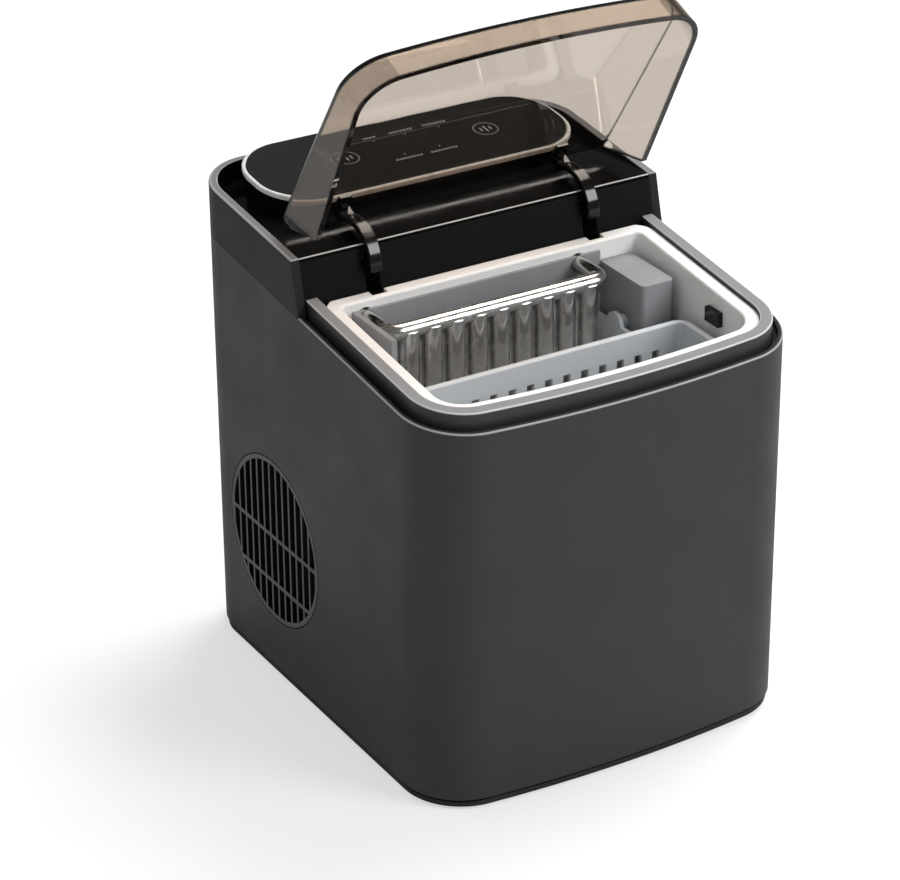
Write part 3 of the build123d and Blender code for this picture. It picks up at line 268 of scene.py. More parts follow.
# Foam insulation
# Rigid foam poured round the tub, cream in colour, with closed cells a millimetre or so across.
# It sets against the tub and holds it, so it needs no fastener.
FOAM_CREAM = (0.74, 0.68, 0.50)
FOAM_SHADE = (0.58, 0.50, 0.33)
FOAM_ROUGH = 0.9
FOAM_CELL = 0.0016
FOAM_DEPTH = 0.0004
CELL_CORE = 0.2
CELL_WALL = 0.8

foam = new_finish("foam", FOAM_CREAM, FOAM_ROUGH)
cells = foam.node_tree.nodes.new("ShaderNodeTexVoronoi")
cells.inputs["Scale"].default_value = 1.0 / FOAM_CELL
foam.node_tree.links.new(own_space(foam.node_tree), cells.inputs["Vector"])
shade(foam, cells.outputs["Distance"], FOAM_CREAM, FOAM_SHADE, CELL_CORE, CELL_WALL)
emboss(foam, cells.outputs["Distance"], -FOAM_DEPTH)
put_on(foam, "foam_insulation")

# Bulkhead, bracket, motor box, pump and drain cup
# Grey ABS mouldings inside the machine and the basin, with a plain matte texture.
# They are clipped or screwed in place and get no further finish.
INNER_GREY = (0.30, 0.31, 0.325)
INNER_ROUGH = 0.5
INNER_GRAIN = 0.0006
INNER_GRAIN_DEPTH = 0.000025

inner_grey = moulded("grey_plastic", INNER_GREY, INNER_ROUGH, INNER_GRAIN, INNER_GRAIN_DEPTH)
put_on(inner_grey, "bulkhead", "evaporator_bracket", "tray_gearmotor", "water_pump", "water_level_sensor",
       "drain_cup")

# Basin liner
# The white tub: rim, side walls, the step that carries the basket and the tank below it.
# Vacuum-formed and satin white, so it carries a soft shine and hardly any texture.
LINER_WHITE = (0.92, 0.92, 0.91)
LINER_ROUGH = 0.34
LINER_RIPPLE = 0.0035
LINER_RIPPLE_DEPTH = 0.00002
LINER_EDGE = 0.0008
LINER_CLOUD = 0.05
LINER_SHADE = 0.97

liner_white = moulded("white_plastic", LINER_WHITE, LINER_ROUGH, LINER_RIPPLE, LINER_RIPPLE_DEPTH, LINER_EDGE)
shade(liner_white, speckle(liner_white, LINER_CLOUD), scaled(LINER_WHITE, LINER_SHADE), LINER_WHITE)
put_on(liner_white, "basin_liner")

# Water hose
# Milky silicone tube from the pump up to the tray, soft and slightly clouded.
# It is drawn to size, cut to length and seated on the spout of the pump.
SILICONE = (0.70, 0.71, 0.69)
SILICONE_ROUGH = 0.42
SILICONE_CLOUD = 0.003
SILICONE_DEPTH = 0.00003
SILICONE_MILK = 0.2
SILICONE_REACH = 0.003

silicone = moulded("hose_silicone", SILICONE, SILICONE_ROUGH, SILICONE_CLOUD, SILICONE_DEPTH,
                   Subsurface_Weight=SILICONE_MILK, Subsurface_Scale=SILICONE_REACH)
put_on(silicone, "water_hose")

# Drain plug and level sensors
# A black rubber plug with a pull tab, and two black infrared windows on the side walls of the tub.
# The plug is pressed into its cup by hand; the windows are polished and stand inside the tub.
EYE_BLACK = (0.006, 0.005, 0.007)
EYE_ROUGH = 0.12
EYE_RIPPLE = 0.002
EYE_RIPPLE_DEPTH = 0.00001

put_on(rubber, "drain_plug")
eye_window = moulded("eye_window", EYE_BLACK, EYE_ROUGH, EYE_RIPPLE, EYE_RIPPLE_DEPTH)
put_on(eye_window, "ice_level_sensors")

# Evaporator
# Copper tube and nine hollow fingers, nickel-plated together so that what freezes on them lets go cleanly.
# The plating is bright, clouded by dried water.
NICKEL = (0.66, 0.655, 0.64)
NICKEL_ROUGH = 0.22
WATER_MARK = 0.006
NICKEL_MARK = 0.0009
DRAWN_DOWN = (1.0, 1.0, 0.2)
NICKEL_DEPTH = 0.000006

nickel = plated("evaporator_metal", NICKEL, NICKEL_ROUGH, WATER_MARK, NICKEL_MARK, DRAWN_DOWN, NICKEL_DEPTH)
put_on(nickel, "evaporator_tube", "evaporator_fingers")

# Water tray and ice basket
# Both are moulded in pale, slightly milky plastic, safe for food: the tray is a half-round trough on stub
# shafts, the basket a slotted tub that lifts out by hand.
MILKY = (0.60, 0.635, 0.66)
MILKY_ROUGH = 0.36
MILKY_FLOW = 0.0018
MILKY_FLOW_DEPTH = 0.00002
MILKY_EDGE = 0.0006
MILKY_SHARE = 0.15
MILKY_REACH = 0.004

milky = moulded("basket_plastic", MILKY, MILKY_ROUGH, MILKY_FLOW, MILKY_FLOW_DEPTH, MILKY_EDGE,
                Subsurface_Weight=MILKY_SHARE, Subsurface_Scale=MILKY_REACH)
put_on(milky, "water_tray", "ice_basket")

# Control boards
# Glass-fibre boards with green lacquer over copper traces: the main board inside the rear cover and the
# touch board under the panel glass.
LACQUER_GREEN = (0.016, 0.11, 0.045)
TRACE_GREEN = (0.035, 0.20, 0.075)
LACQUER_ROUGH = 0.32
LACQUER_DRIFT = 0.1
TRACE_WIDE = 0.0045
TRACE_TALL = 0.0012
TRACE_GAP = 0.0003
TRACE_DEPTH = 0.00004
BOARD_UPRIGHT = radians(90)

board_lacquer = new_finish("board_green", LACQUER_GREEN, LACQUER_ROUGH)
board_tree = board_lacquer.node_tree
traces = board_tree.nodes.new("ShaderNodeTexBrick")
traces.inputs["Scale"].default_value = 1.0
traces.inputs["Brick Width"].default_value = TRACE_WIDE
traces.inputs["Row Height"].default_value = TRACE_TALL
traces.inputs["Mortar Size"].default_value = TRACE_GAP
board_turn = board_tree.nodes.new("ShaderNodeMapping")
board_turn.inputs["Rotation"].default_value = (BOARD_UPRIGHT, 0.0, 0.0)
board_tree.links.new(own_space(board_tree), board_turn.inputs["Vector"])
board_tree.links.new(board_turn.outputs["Vector"], traces.inputs["Vector"])
shade(board_lacquer, traces.outputs["Fac"], LACQUER_GREEN, TRACE_GREEN, start=0.0, end=1.0)
emboss(board_lacquer, traces.outputs["Fac"], TRACE_DEPTH)
lacquer_pools = speckle(board_lacquer, TRACE_WIDE)
drift(board_lacquer, lacquer_pools, "Roughness", LACQUER_ROUGH - LACQUER_DRIFT, LACQUER_ROUGH + LACQUER_DRIFT)
put_on(board_lacquer, "main_control_board", "touch_board")

# Body casing, vent grilles and rear cover
# The outer wrap in charcoal ABS, spark-textured so that it looks dry and even, with press-in grilles.
# Handling polishes the grain a little, so the shine drifts slowly over each face.
CHARCOAL = (0.028, 0.0286, 0.028)
CHARCOAL_ROUGH = 0.52
SPARK_GRAIN = 0.0005
SPARK_DEPTH = 0.000018
LIP_SLOPE = atan(0.1086)
LIP_LEVEL = 0.2284
LIP_ROUND = 0.001
LIP_END = 0.010
LIP_PAINTED_HIGHLIGHT = (0.36, 0.36, 0.36)
GRILLE_PAINTED_LIGHT = (0.075, 0.0755, 0.0745)
SLOT_PAINTED_SHADE = (0.002, 0.002, 0.002)
BAR_FACE = 0.4
HIGHLIGHT_SPAN = (0.45, 0.93)


def along(tree, vector, axis):
    """One axis of a place or of the way that a face looks."""
    split = tree.nodes.new("ShaderNodeSeparateXYZ")
    tree.links.new(vector, split.inputs["Vector"])
    return split.outputs[axis]


def reckon(tree, operation, *terms):
    """One step of arithmetic on plain numbers and on values that other nodes give."""
    step = tree.nodes.new("ShaderNodeMath")
    step.operation = operation
    for socket, term in zip(step.inputs, terms):
        if isinstance(term, float):
            socket.default_value = term
        else:
            tree.links.new(term, socket)
    return step.outputs["Value"]


def rise_share(finish, slope, level, depth):
    """Share that climbs from nought to one over the last bit below a level that slopes up to the rear."""
    tree = finish.node_tree
    top = level * cos(slope)
    tilt = tree.nodes.new("ShaderNodeMapping")
    tilt.inputs["Rotation"].default_value = (-slope, 0.0, 0.0)
    share = tree.nodes.new("ShaderNodeMapRange")
    share.inputs["From Min"].default_value = top - depth
    share.inputs["From Max"].default_value = top
    tree.links.new(own_space(tree), tilt.inputs["Vector"])
    tree.links.new(along(tree, tilt.outputs["Vector"], "Z"), share.inputs["Value"])
    return share.outputs["Result"]


def ahead_only(finish, share, end):
    """Keeps a share only on the part of a piece that lies ahead of a place along its depth."""
    tree = finish.node_tree
    ahead = reckon(tree, "LESS_THAN", along(tree, own_space(tree), "Y"), end)
    return reckon(tree, "MULTIPLY", ahead, share)


def outward_share(finish, axis, least):
    """One on faces that look out along an axis, either way, and nought on the walls of holes."""
    tree = finish.node_tree
    size = reckon(tree, "ABSOLUTE", along(tree, own_space(tree, "Normal"), axis))
    return reckon(tree, "GREATER_THAN", size, least)


def paint_edge_highlight(finish, share, face, edge, land):
    """Painted highlight: a pale line along a rounded edge, between the side face and the land on top of it.
    """
    ramp = finish.node_tree.nodes.new("ShaderNodeValToRGB")
    stops = ramp.color_ramp.elements
    stops[0].color = (*face, 1.0)
    stops[1].color = (*land, 1.0)
    for place in HIGHLIGHT_SPAN:
        stops.new(place).color = (*edge, 1.0)
    finish.node_tree.links.new(share, ramp.inputs["Fac"])
    finish.node_tree.links.new(ramp.outputs["Color"], shader_of(finish).inputs["Base Color"])
    return ramp.outputs["Color"]


charcoal = moulded("casing_plastic", CHARCOAL, CHARCOAL_ROUGH, SPARK_GRAIN, SPARK_DEPTH)
put_on(charcoal, "rear_cover")
# Painted light: the grilles are coloured lighter than the casing, standing in for highlights on the bars, and
# the walls of their slots are painted black as painted shade.
grille_finish = moulded("grille_plastic", GRILLE_PAINTED_LIGHT, CHARCOAL_ROUGH, SPARK_GRAIN, SPARK_DEPTH)
bar_faces = outward_share(grille_finish, "X", BAR_FACE)
shade(grille_finish, bar_faces, SLOT_PAINTED_SHADE, GRILLE_PAINTED_LIGHT, start=0.0, end=1.0)
put_on(grille_finish, "vent_grille_left", "vent_grille_right")
wrap = charcoal.copy()
wrap.name = "casing_wrap"
# Painted highlight: a pale line along the rounded front lip of the casing.
lip_rise = ahead_only(wrap, rise_share(wrap, LIP_SLOPE, LIP_LEVEL, LIP_ROUND), LIP_END)
paint_edge_highlight(wrap, lip_rise, CHARCOAL, LIP_PAINTED_HIGHLIGHT, CHARCOAL)
put_on(wrap, "body_casing")

# Basin collar
# A charcoal ring between casing and tub that the lid closes on, smoother than the casing.
# It is moulded in one piece; its top land is painted lighter as painted light from above, and its upper edge
# carries a painted highlight.
COLLAR_GREY = (0.030, 0.031, 0.032)
COLLAR_ROUGH = 0.40
COLLAR_GRAIN = 0.0006
COLLAR_GRAIN_DEPTH = 0.000012
COLLAR_LEVEL = 0.2364
COLLAR_ROUND = 0.0009
COLLAR_PAINTED_LIGHT = (0.26, 0.262, 0.27)
COLLAR_PAINTED_HIGHLIGHT = (0.6, 0.6, 0.61)

collar_finish = moulded("collar_plastic", COLLAR_GREY, COLLAR_ROUGH, COLLAR_GRAIN, COLLAR_GRAIN_DEPTH)
# Painted light on the top land, with a painted highlight along the upper edge.
collar_rise = rise_share(collar_finish, LIP_SLOPE, COLLAR_LEVEL, COLLAR_ROUND)
paint_edge_highlight(collar_finish, collar_rise, COLLAR_GREY, COLLAR_PAINTED_HIGHLIGHT, COLLAR_PAINTED_LIGHT)
put_on(collar_finish, "basin_collar")

# Upper housing
# The raised wall round the rear, one moulding with the front wall that the lid arms pass through.
# Same plastic as the casing, a shade cooler and a little smoother; its top land is painted lighter as painted
# light from above, with a painted highlight along its edge.
HOUSING_GREY = (0.021, 0.0221, 0.0226)
HOUSING_ROUGH = 0.44
HOUSING_SHINE = 0.12
HOUSING_GRAIN_DEPTH = 0.000014
LAND_SLOPE = atan(0.098)
LAND_LEVEL = 0.2572
LAND_ROUND = 0.001
LAND_PAINTED_LIGHT = (0.20, 0.206, 0.214)
LAND_PAINTED_HIGHLIGHT = (0.42, 0.43, 0.44)
POST_INNER = 0.1062
FRONT_TURN = -0.5
FRONT_BLACK = (0.004, 0.004, 0.0042)


def front_share(finish, half, turn):
    """One on faces that look forward between the two posts, nought elsewhere."""
    tree = finish.node_tree
    between = reckon(tree, "COMPARE", along(tree, own_space(tree), "X"), 0.0, half)
    forward = reckon(tree, "LESS_THAN", along(tree, own_space(tree, "Normal"), "Y"), turn)
    return reckon(tree, "MULTIPLY", between, forward)


housing_finish = moulded("housing_plastic", HOUSING_GREY, HOUSING_ROUGH, SPARK_GRAIN, HOUSING_GRAIN_DEPTH,
                         Specular_IOR_Level=HOUSING_SHINE)
# Painted light on the top land of the wall, with a painted highlight along its edges.
land_rise = rise_share(housing_finish, LAND_SLOPE, LAND_LEVEL, LAND_ROUND)
painted_land_colour = paint_edge_highlight(housing_finish, land_rise, HOUSING_GREY, LAND_PAINTED_HIGHLIGHT, LAND_PAINTED_LIGHT)
# The faces that look forward between the posts are coloured black, as dark as the deck.
front_wall = front_share(housing_finish, POST_INNER, FRONT_TURN)
housing_tree = housing_finish.node_tree
front_black_mix = housing_tree.nodes.new("ShaderNodeMixRGB")
front_black_mix.inputs["Color2"].default_value = (*FRONT_BLACK, 1.0)
housing_tree.links.new(front_wall, front_black_mix.inputs["Fac"])
housing_tree.links.new(painted_land_colour, front_black_mix.inputs["Color1"])
housing_tree.links.new(front_black_mix.outputs["Color"], shader_of(housing_finish).inputs["Base Color"])
put_on(housing_finish, "upper_housing")

# Deck panel, pod and lid arms
# Polished black plastic: the recessed deck, the pod that stands on it and the two hoops that carry the lid.
# The gloss shows a faint swirl of wiping marks, and the deck's front edge carries a painted highlight.
GLOSS_BLACK = (0.004, 0.004, 0.0042)
GLOSS_ROUGH = 0.13
DECK_SHINE = 0.05
HOOP_SHINE = 0.5
WIPE_SIZE = 0.018
WIPE_STRETCH = (1.0, 0.5, 1.0)
PEEL_SIZE = 0.006
PEEL_DEPTH = 0.00001
DECK_LEVEL = 0.2585
DECK_ROUND = 0.0007
DECK_PAINTED_HIGHLIGHT = (0.5, 0.5, 0.5)
WIPE_DULL = 0.06
WIPE_BRIGHT = 0.04
WIPE_PALER = 1.4


def polished(name, shine):
    """Polished black plastic with a slight peel and wiping marks in its gloss."""
    finish = new_finish(name, GLOSS_BLACK, GLOSS_ROUGH, Specular_IOR_Level=shine)
    soften_edges(finish, MOULD_EDGE)
    emboss(finish, speckle(finish, PEEL_SIZE), PEEL_DEPTH)
    wiped = speckle(finish, WIPE_SIZE, WIPE_STRETCH, FINE_DETAIL)
    drift(finish, wiped, "Roughness", GLOSS_ROUGH - WIPE_BRIGHT, GLOSS_ROUGH + WIPE_DULL)
    shade(finish, wiped, GLOSS_BLACK, scaled(GLOSS_BLACK, WIPE_PALER))
    return finish


put_on(polished("hoop_gloss", HOOP_SHINE), "lid_arm_left", "lid_arm_right")
put_on(polished("pod_gloss", DECK_SHINE), "control_pod")
deck_gloss = polished("deck_gloss", DECK_SHINE)
# Painted highlight: a pale line along the deck's front edge.
deck_rise = rise_share(deck_gloss, 0.0, DECK_LEVEL, DECK_ROUND)
paint_edge_highlight(deck_gloss, deck_rise, GLOSS_BLACK, DECK_PAINTED_HIGHLIGHT, GLOSS_BLACK)
put_on(deck_gloss, "deck_panel")

# Lid arm screws
# Two pan-head screws that pull the hoops up to the lid from below, blackened so that they vanish into them.
# The oxide is thin, so the rims of the heads rub a little paler.
OXIDE_BLACK = (0.02, 0.02, 0.021)
OXIDE_ROUGH = 0.28
OXIDE_CLOUD = 0.003

oxide = plated("screw_black", OXIDE_BLACK, OXIDE_ROUGH, OXIDE_CLOUD, DIE_MARK, DIE_STRETCH, DIE_DEPTH)
put_on(oxide, "lid_arm_screws")

# Panel trim ring
# A bright ring round the touch panel: plastic with a silver lacquer that scatters as much as it shines.
# It clips round the top of the pod and holds the glass.
RING_SILVER = (0.88, 0.88, 0.87)
RING_ROUGH = 0.32
RING_METAL = 0.15
RING_MARK = 0.0005
RING_CLOUD = 0.006
RING_STRETCH = (0.2, 1.0, 1.0)
RING_DEPTH = 0.000006

ring_silver = plated("trim_metal", RING_SILVER, RING_ROUGH, RING_CLOUD, RING_MARK, RING_STRETCH, RING_DEPTH)
shader_of(ring_silver).inputs["Metallic"].default_value = RING_METAL
put_on(ring_silver, "panel_trim_ring")

# Panel glass
# Black-backed acrylic over the touch board. Nothing on it travels: it senses a finger through the sheet.
# Faint finger smears change its shine.
GLASS_BLACK = (0.010, 0.0102, 0.0097)
GLASS_ROUGH = 0.16
SMEAR_SIZE = 0.012
SMEAR_DULL = 0.08
SMEAR_BRIGHT = 0.05
SMEAR_PALER = 1.25
GLASS_PEEL_DEPTH = 0.000005

panel_black = new_finish("panel_black", GLASS_BLACK, GLASS_ROUGH)
smears = speckle(panel_black, SMEAR_SIZE, detail=FINE_DETAIL)
drift(panel_black, smears, "Roughness", GLASS_ROUGH - SMEAR_BRIGHT, GLASS_ROUGH + SMEAR_DULL)
shade(panel_black, smears, GLASS_BLACK, scaled(GLASS_BLACK, SMEAR_PALER))
emboss(panel_black, speckle(panel_black, PEEL_SIZE), GLASS_PEEL_DEPTH)
put_on(panel_black, "panel_glass")

# Panel marks
# Pale ink printed on the glass: two ring buttons with plain bars, and rows of ticks with dots for the lamps.
# Each mark is a thin raised film, as screen print is.
INK_GREY = (0.42, 0.42, 0.41)
INK_ROUGH = 0.6
INK_FILM = 0.00006
INK_SPECK = 0.0004
INK_THIN = 0.85
INK_DRIFT = 0.1
BUTTON_SPOTS = ((-0.0375, 0.0905), (0.047, 0.088))
BUTTON_R = 0.007
BUTTON_LINE = 0.00045
BUTTON_SIDES = 48
SIGN_BARS = ((-0.4, 0.25), (0.0, 0.45), (0.4, 0.25))
UPPER_ROW_Y = 0.1055
LOWER_ROW_Y = 0.0768
UPPER_ROW = ((-0.0195, -0.0104), (-0.0032, 0.0121), (0.0174, 0.0329))
LOWER_ROW = ((-0.0154, 0.0008), (0.006, 0.0222))
LAMP_GAP = 0.0045
LAMP_R = 0.0005
LAMP_SIDES = 20
TICK_STEP = 0.0021
TICK_HALF = (0.00065, 0.0008)
PANEL_TILT = atan(0.098)
glass_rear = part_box("panel_glass")[1]
marks = []


def on_glass(y):
    """Height of the sloping glass above the floor at that depth."""
    return glass_rear.z - (glass_rear.y - y) * tan(PANEL_TILT)


def clear_selection():
    """Leaves nothing selected for the next operator."""
    bpy.ops.object.select_all(action="DESELECT")


def settle(piece):
    """Puts a piece's place into its mesh, so that the object itself sits at the origin."""
    clear_selection()
    piece.select_set(True)
    bpy.context.view_layer.objects.active = piece
    bpy.ops.object.transform_apply(location=True, rotation=True, scale=True)


def raise_film():
    """Gives the flat mark in edit mode the thickness of the ink, with its faces outward."""
    bpy.ops.mesh.select_all(action="SELECT")
    bpy.ops.mesh.extrude_region_move(TRANSFORM_OT_translate={"value": (0.0, 0.0, INK_FILM)})
    bpy.ops.mesh.select_all(action="SELECT")
    bpy.ops.mesh.normals_make_consistent(inside=False)
    bpy.ops.object.mode_set(mode="OBJECT")
    marks.append(bpy.context.active_object)


def lay_down(x, y):
    """Where a mark lies on the glass, turned to its slope."""
    return {"location": (x, y, on_glass(y)), "rotation": (PANEL_TILT, 0.0, 0.0)}


def ring_mark(x, y, radius, line):
    """Thin printed ring round a touch spot."""
    clear_selection()
    bpy.ops.mesh.primitive_circle_add(
        vertices=BUTTON_SIDES, radius=radius, fill_type="NGON", **lay_down(x, y))
    bpy.ops.object.mode_set(mode="EDIT")
    bpy.ops.mesh.inset(thickness=line)
    bpy.ops.mesh.delete(type="FACE")
    raise_film()


def dot_mark(x, y, radius):
    """Small printed disc for a lamp."""
    clear_selection()
    bpy.ops.mesh.primitive_circle_add(
        vertices=LAMP_SIDES, radius=radius, fill_type="NGON", **lay_down(x, y))
    bpy.ops.object.mode_set(mode="EDIT")
    raise_film()


def bar_mark(x, y, half_x, half_y):
    """Printed bar, given by its half sizes."""
    clear_selection()
    bpy.ops.mesh.primitive_plane_add(size=2.0 * half_y, **lay_down(x, y))
    bpy.ops.object.mode_set(mode="EDIT")
    bpy.ops.transform.resize(value=(half_x / half_y, 1.0, 1.0))
    raise_film()


def tick_row(spans, y, lamp_side):
    """Short ticks that stand in for printed words, with a lamp dot beside each group."""
    for start, end in spans:
        first = start + TICK_STEP / 2
        for tick in range(round((end - start) / TICK_STEP)):
            bar_mark(first + tick * TICK_STEP, y, *TICK_HALF)
        dot_mark((start + end) / 2, y + lamp_side * LAMP_GAP, LAMP_R)


for x, y in BUTTON_SPOTS:
    ring_mark(x, y, BUTTON_R, BUTTON_LINE)
    for across, tall in SIGN_BARS:
        bar_mark(x + across * BUTTON_R, y, BUTTON_LINE, tall * BUTTON_R)
tick_row(UPPER_ROW, UPPER_ROW_Y, -1)
tick_row(LOWER_ROW, LOWER_ROW_Y, 1)
for mark in marks:
    settle(mark)
clear_selection()
for mark in marks:
    mark.select_set(True)
bpy.context.view_layer.objects.active = marks[0]
bpy.ops.object.join()
panel_marks = bpy.context.active_object
panel_marks.name = "panel_marks"
settle(panel_marks)
ink = new_finish("panel_ink", INK_GREY, INK_ROUGH)
ink_specks = speckle(ink, INK_SPECK)
shade(ink, ink_specks, scaled(INK_GREY, INK_THIN), INK_GREY)
drift(ink, ink_specks, "Roughness", INK_ROUGH - INK_DRIFT, INK_ROUGH + INK_DRIFT)
panel_marks.data.materials.append(ink)
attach(panel_marks, "machine")

# Lid panel
# One clear moulding tinted smoky brown: a flat top with skirts, screwed to the two hoops.
# The tint is in the plastic itself, which darkens long paths through it; the dark line along edges seen end
# on is painted shade in the colour. Shadows fall through it tinted, not black.
SMOKE_TINT = (0.34, 0.175, 0.0)
SMOKE_DENSITY = 212.0
SMOKE_SHADOW = (0.77, 0.72, 0.68)
LID_IOR = 1.49
LID_ROUGH = 0.03
LID_SMEAR = 0.025
LID_FLOW = 0.03
LID_FLOW_DETAIL = 1.0
LID_FLOW_DEPTH = 0.00006
LID_CLEAR = (1.0, 1.0, 1.0)
LID_EDGE_PAINTED_SHADE = (0.004, 0.003, 0.002)
LID_EDGE = 0.0021
EDGE_FLAT = 0.998
EDGE_TURNED = 0.95


def edge_share(finish, radius):
    """One along sharp edges and nought a radius away from them."""
    tree = finish.node_tree
    rounded = tree.nodes.new("ShaderNodeBevel")
    rounded.samples = EDGE_SAMPLES
    rounded.inputs["Radius"].default_value = radius
    face = tree.nodes.new("ShaderNodeNewGeometry")
    turn = tree.nodes.new("ShaderNodeVectorMath")
    turn.operation = "DOT_PRODUCT"
    share = tree.nodes.new("ShaderNodeMapRange")
    share.inputs["From Min"].default_value = EDGE_FLAT
    share.inputs["From Max"].default_value = EDGE_TURNED
    tree.links.new(rounded.outputs["Normal"], turn.inputs[0])
    tree.links.new(face.outputs["Normal"], turn.inputs[1])
    tree.links.new(turn.outputs["Value"], share.inputs["Value"])
    return share.outputs["Result"]


smoked = new_finish("smoked_plastic", LID_CLEAR, LID_ROUGH, Transmission_Weight=1.0, IOR=LID_IOR)
# Painted shade: the colour goes nearly black along the lid's edges.
shade(smoked, edge_share(smoked, LID_EDGE), LID_CLEAR, LID_EDGE_PAINTED_SHADE, start=0.0, end=1.0)
drift(smoked, speckle(smoked, LID_SMEAR, detail=FINE_DETAIL), "Roughness", 0.0, LID_ROUGH)
emboss(smoked, speckle(smoked, LID_FLOW, detail=LID_FLOW_DETAIL), LID_FLOW_DEPTH)
lid_tree = smoked.node_tree
smoke = lid_tree.nodes.new("ShaderNodeVolumeAbsorption")
smoke.inputs["Color"].default_value = (*SMOKE_TINT, 1.0)
smoke.inputs["Density"].default_value = SMOKE_DENSITY
pass_light = lid_tree.nodes.new("ShaderNodeBsdfTransparent")
pass_light.inputs["Color"].default_value = (*SMOKE_SHADOW, 1.0)
ray = lid_tree.nodes.new("ShaderNodeLightPath")
lamp_side = lid_tree.nodes.new("ShaderNodeMixShader")
lid_out = lid_tree.nodes["Material Output"]
lid_tree.links.new(ray.outputs["Is Shadow Ray"], lamp_side.inputs["Fac"])
lid_tree.links.new(shader_of(smoked).outputs["BSDF"], lamp_side.inputs[1])
lid_tree.links.new(pass_light.outputs["BSDF"], lamp_side.inputs[2])
lid_tree.links.new(lamp_side.outputs["Shader"], lid_out.inputs["Surface"])
lid_tree.links.new(smoke.outputs["Volume"], lid_out.inputs["Volume"])
put_on(smoked, "lid_panel")

# Studio
# A pale floor that keeps the shadow and a white backdrop, under three soft lamps in a dim room.
# Clear plastic shows the white behind it, while shiny faces see the dim room and the two low lamps:
# the lamp overhead leaves no glare, so that the shut lid stays clear.
FLOOR_HALF = 8.0
FLOOR_PALE = (0.50, 0.50, 0.50)
FLOOR_ROUGH = 0.9
WHITE = (1.0, 1.0, 1.0, 1.0)
FLOOR_GLOW = 0.2
RAY_GLOWS = {"Is Camera Ray": 0.36, "Is Transmission Ray": 0.2}
FAR_REACH = (1.2, 3.0)
FAR_GLOW = 0.23
ROOM_LIGHT = 0.45
ROOM_SHINE = 0.16
ROOM_WHITE = 1.0
LAMPS = {
    "key_lamp": ((1.1, -1.6, 1.4), 1.1, 24.0, True),
    "top_lamp": ((0.95, 0.42, 1.9), 1.2, 36.0, False),
    "edge_lamp": ((-1.5, 1.1, 1.0), 1.2, 1.0, True),
}
LAMP_AIM = Vector((0.0, 0.0, 0.15))
PHOTO_WIDE = 900.0
CAMERA_TURN = radians(-31.594)
CAMERA_RISE = radians(26.815)
CAMERA_AIM = Vector((0.0, 0.0, 0.150))
CAMERA_FAR = 1.76488
CAMERA_FOCUS = 3333.56
CAMERA_OFF = (45.37, 25.97)
SENSOR = 36.0

clear_selection()
bpy.ops.mesh.primitive_plane_add(size=2.0 * FLOOR_HALF)
floor = bpy.context.active_object
floor.name = "floor"
floor_finish = new_finish("floor_pale", FLOOR_PALE, FLOOR_ROUGH, Specular_IOR_Level=0.0)
floor_tree = floor_finish.node_tree
floor.data.materials.append(floor_finish)

floor_sight = floor_tree.nodes.new("ShaderNodeLightPath")
reach = floor_tree.nodes.new("ShaderNodeVectorMath")
reach.operation = "LENGTH"
floor_tree.links.new(own_space(floor_tree), reach.inputs[0])
far = floor_tree.nodes.new("ShaderNodeMapRange")
far.inputs["From Min"].default_value, far.inputs["From Max"].default_value = FAR_REACH
far.inputs["To Max"].default_value = FAR_GLOW
floor_tree.links.new(reach.outputs["Value"], far.inputs["Value"])
glow = FLOOR_GLOW
for ray_kind, extra in RAY_GLOWS.items():
    level = reckon(floor_tree, "ADD", far.outputs["Result"], extra)
    glow = reckon(floor_tree, "MULTIPLY_ADD", floor_sight.outputs[ray_kind], level, glow)
shader_of(floor_finish).inputs["Emission Color"].default_value = WHITE
floor_tree.links.new(glow, shader_of(floor_finish).inputs["Emission Strength"])

world = bpy.data.worlds.new("surround")
world.use_nodes = True
world_tree = world.node_tree


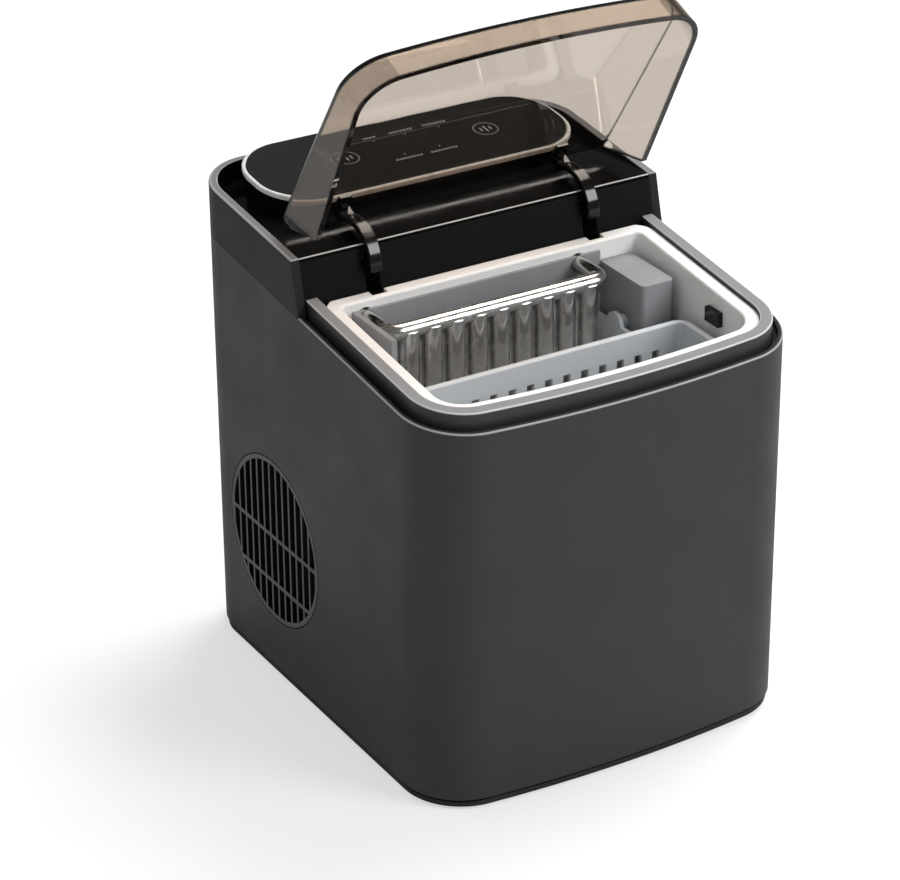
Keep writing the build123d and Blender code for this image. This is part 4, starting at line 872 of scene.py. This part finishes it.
def backdrop(strength):
    """Even white surround of one strength."""
    glow_white = world_tree.nodes.new("ShaderNodeBackground")
    glow_white.inputs["Color"].default_value = WHITE
    glow_white.inputs["Strength"].default_value = strength
    return glow_white.outputs["Background"]


def choose(share, plain, other):
    """One surround where the share is nought and the other where it is one."""
    pick = world_tree.nodes.new("ShaderNodeMixShader")
    world_tree.links.new(share, pick.inputs["Fac"])
    world_tree.links.new(plain, pick.inputs[1])
    world_tree.links.new(other, pick.inputs[2])
    return pick.outputs["Shader"]


sight = world_tree.nodes.new("ShaderNodeLightPath")
mirrored = reckon(world_tree, "MINIMUM", sight.outputs["Glossy Depth"], 1.0)
seen = reckon(world_tree, "MAXIMUM", sight.outputs["Is Camera Ray"], sight.outputs["Is Transmission Ray"])
straight = reckon(world_tree, "GREATER_THAN", seen, sight.outputs["Glossy Depth"])
room = choose(mirrored, backdrop(ROOM_LIGHT), backdrop(ROOM_SHINE))
surround = choose(straight, room, backdrop(ROOM_WHITE))
world_tree.links.new(surround, world_tree.nodes["World Output"].inputs["Surface"])
bpy.context.scene.world = world

for name, (place, size, power, mirrors) in LAMPS.items():
    lamp = bpy.data.objects.new(name, bpy.data.lights.new(name, "AREA"))
    lamp.data.shape = "DISK"
    lamp.visible_glossy = mirrors
    lamp.data.size = size
    lamp.data.energy = power
    lamp.location = place
    lamp.rotation_euler = (LAMP_AIM - lamp.location).to_track_quat("-Z", "Y").to_euler()
    bpy.context.scene.collection.objects.link(lamp)

back = Vector((sin(CAMERA_TURN) * cos(CAMERA_RISE), -cos(CAMERA_TURN) * cos(CAMERA_RISE), sin(CAMERA_RISE)))
camera = bpy.data.objects.new("camera", bpy.data.cameras.new("camera"))
camera.location = CAMERA_AIM + CAMERA_FAR * back
camera.rotation_euler = (-back).to_track_quat("-Z", "Y").to_euler()
camera.data.sensor_width = SENSOR
camera.data.lens = SENSOR * CAMERA_FOCUS / PHOTO_WIDE
camera.data.shift_x = -CAMERA_OFF[0] / PHOTO_WIDE
camera.data.shift_y = -CAMERA_OFF[1] / PHOTO_WIDE
bpy.context.scene.collection.objects.link(camera)
bpy.context.scene.camera = camera
bpy.context.scene.view_settings.view_transform = "Standard"
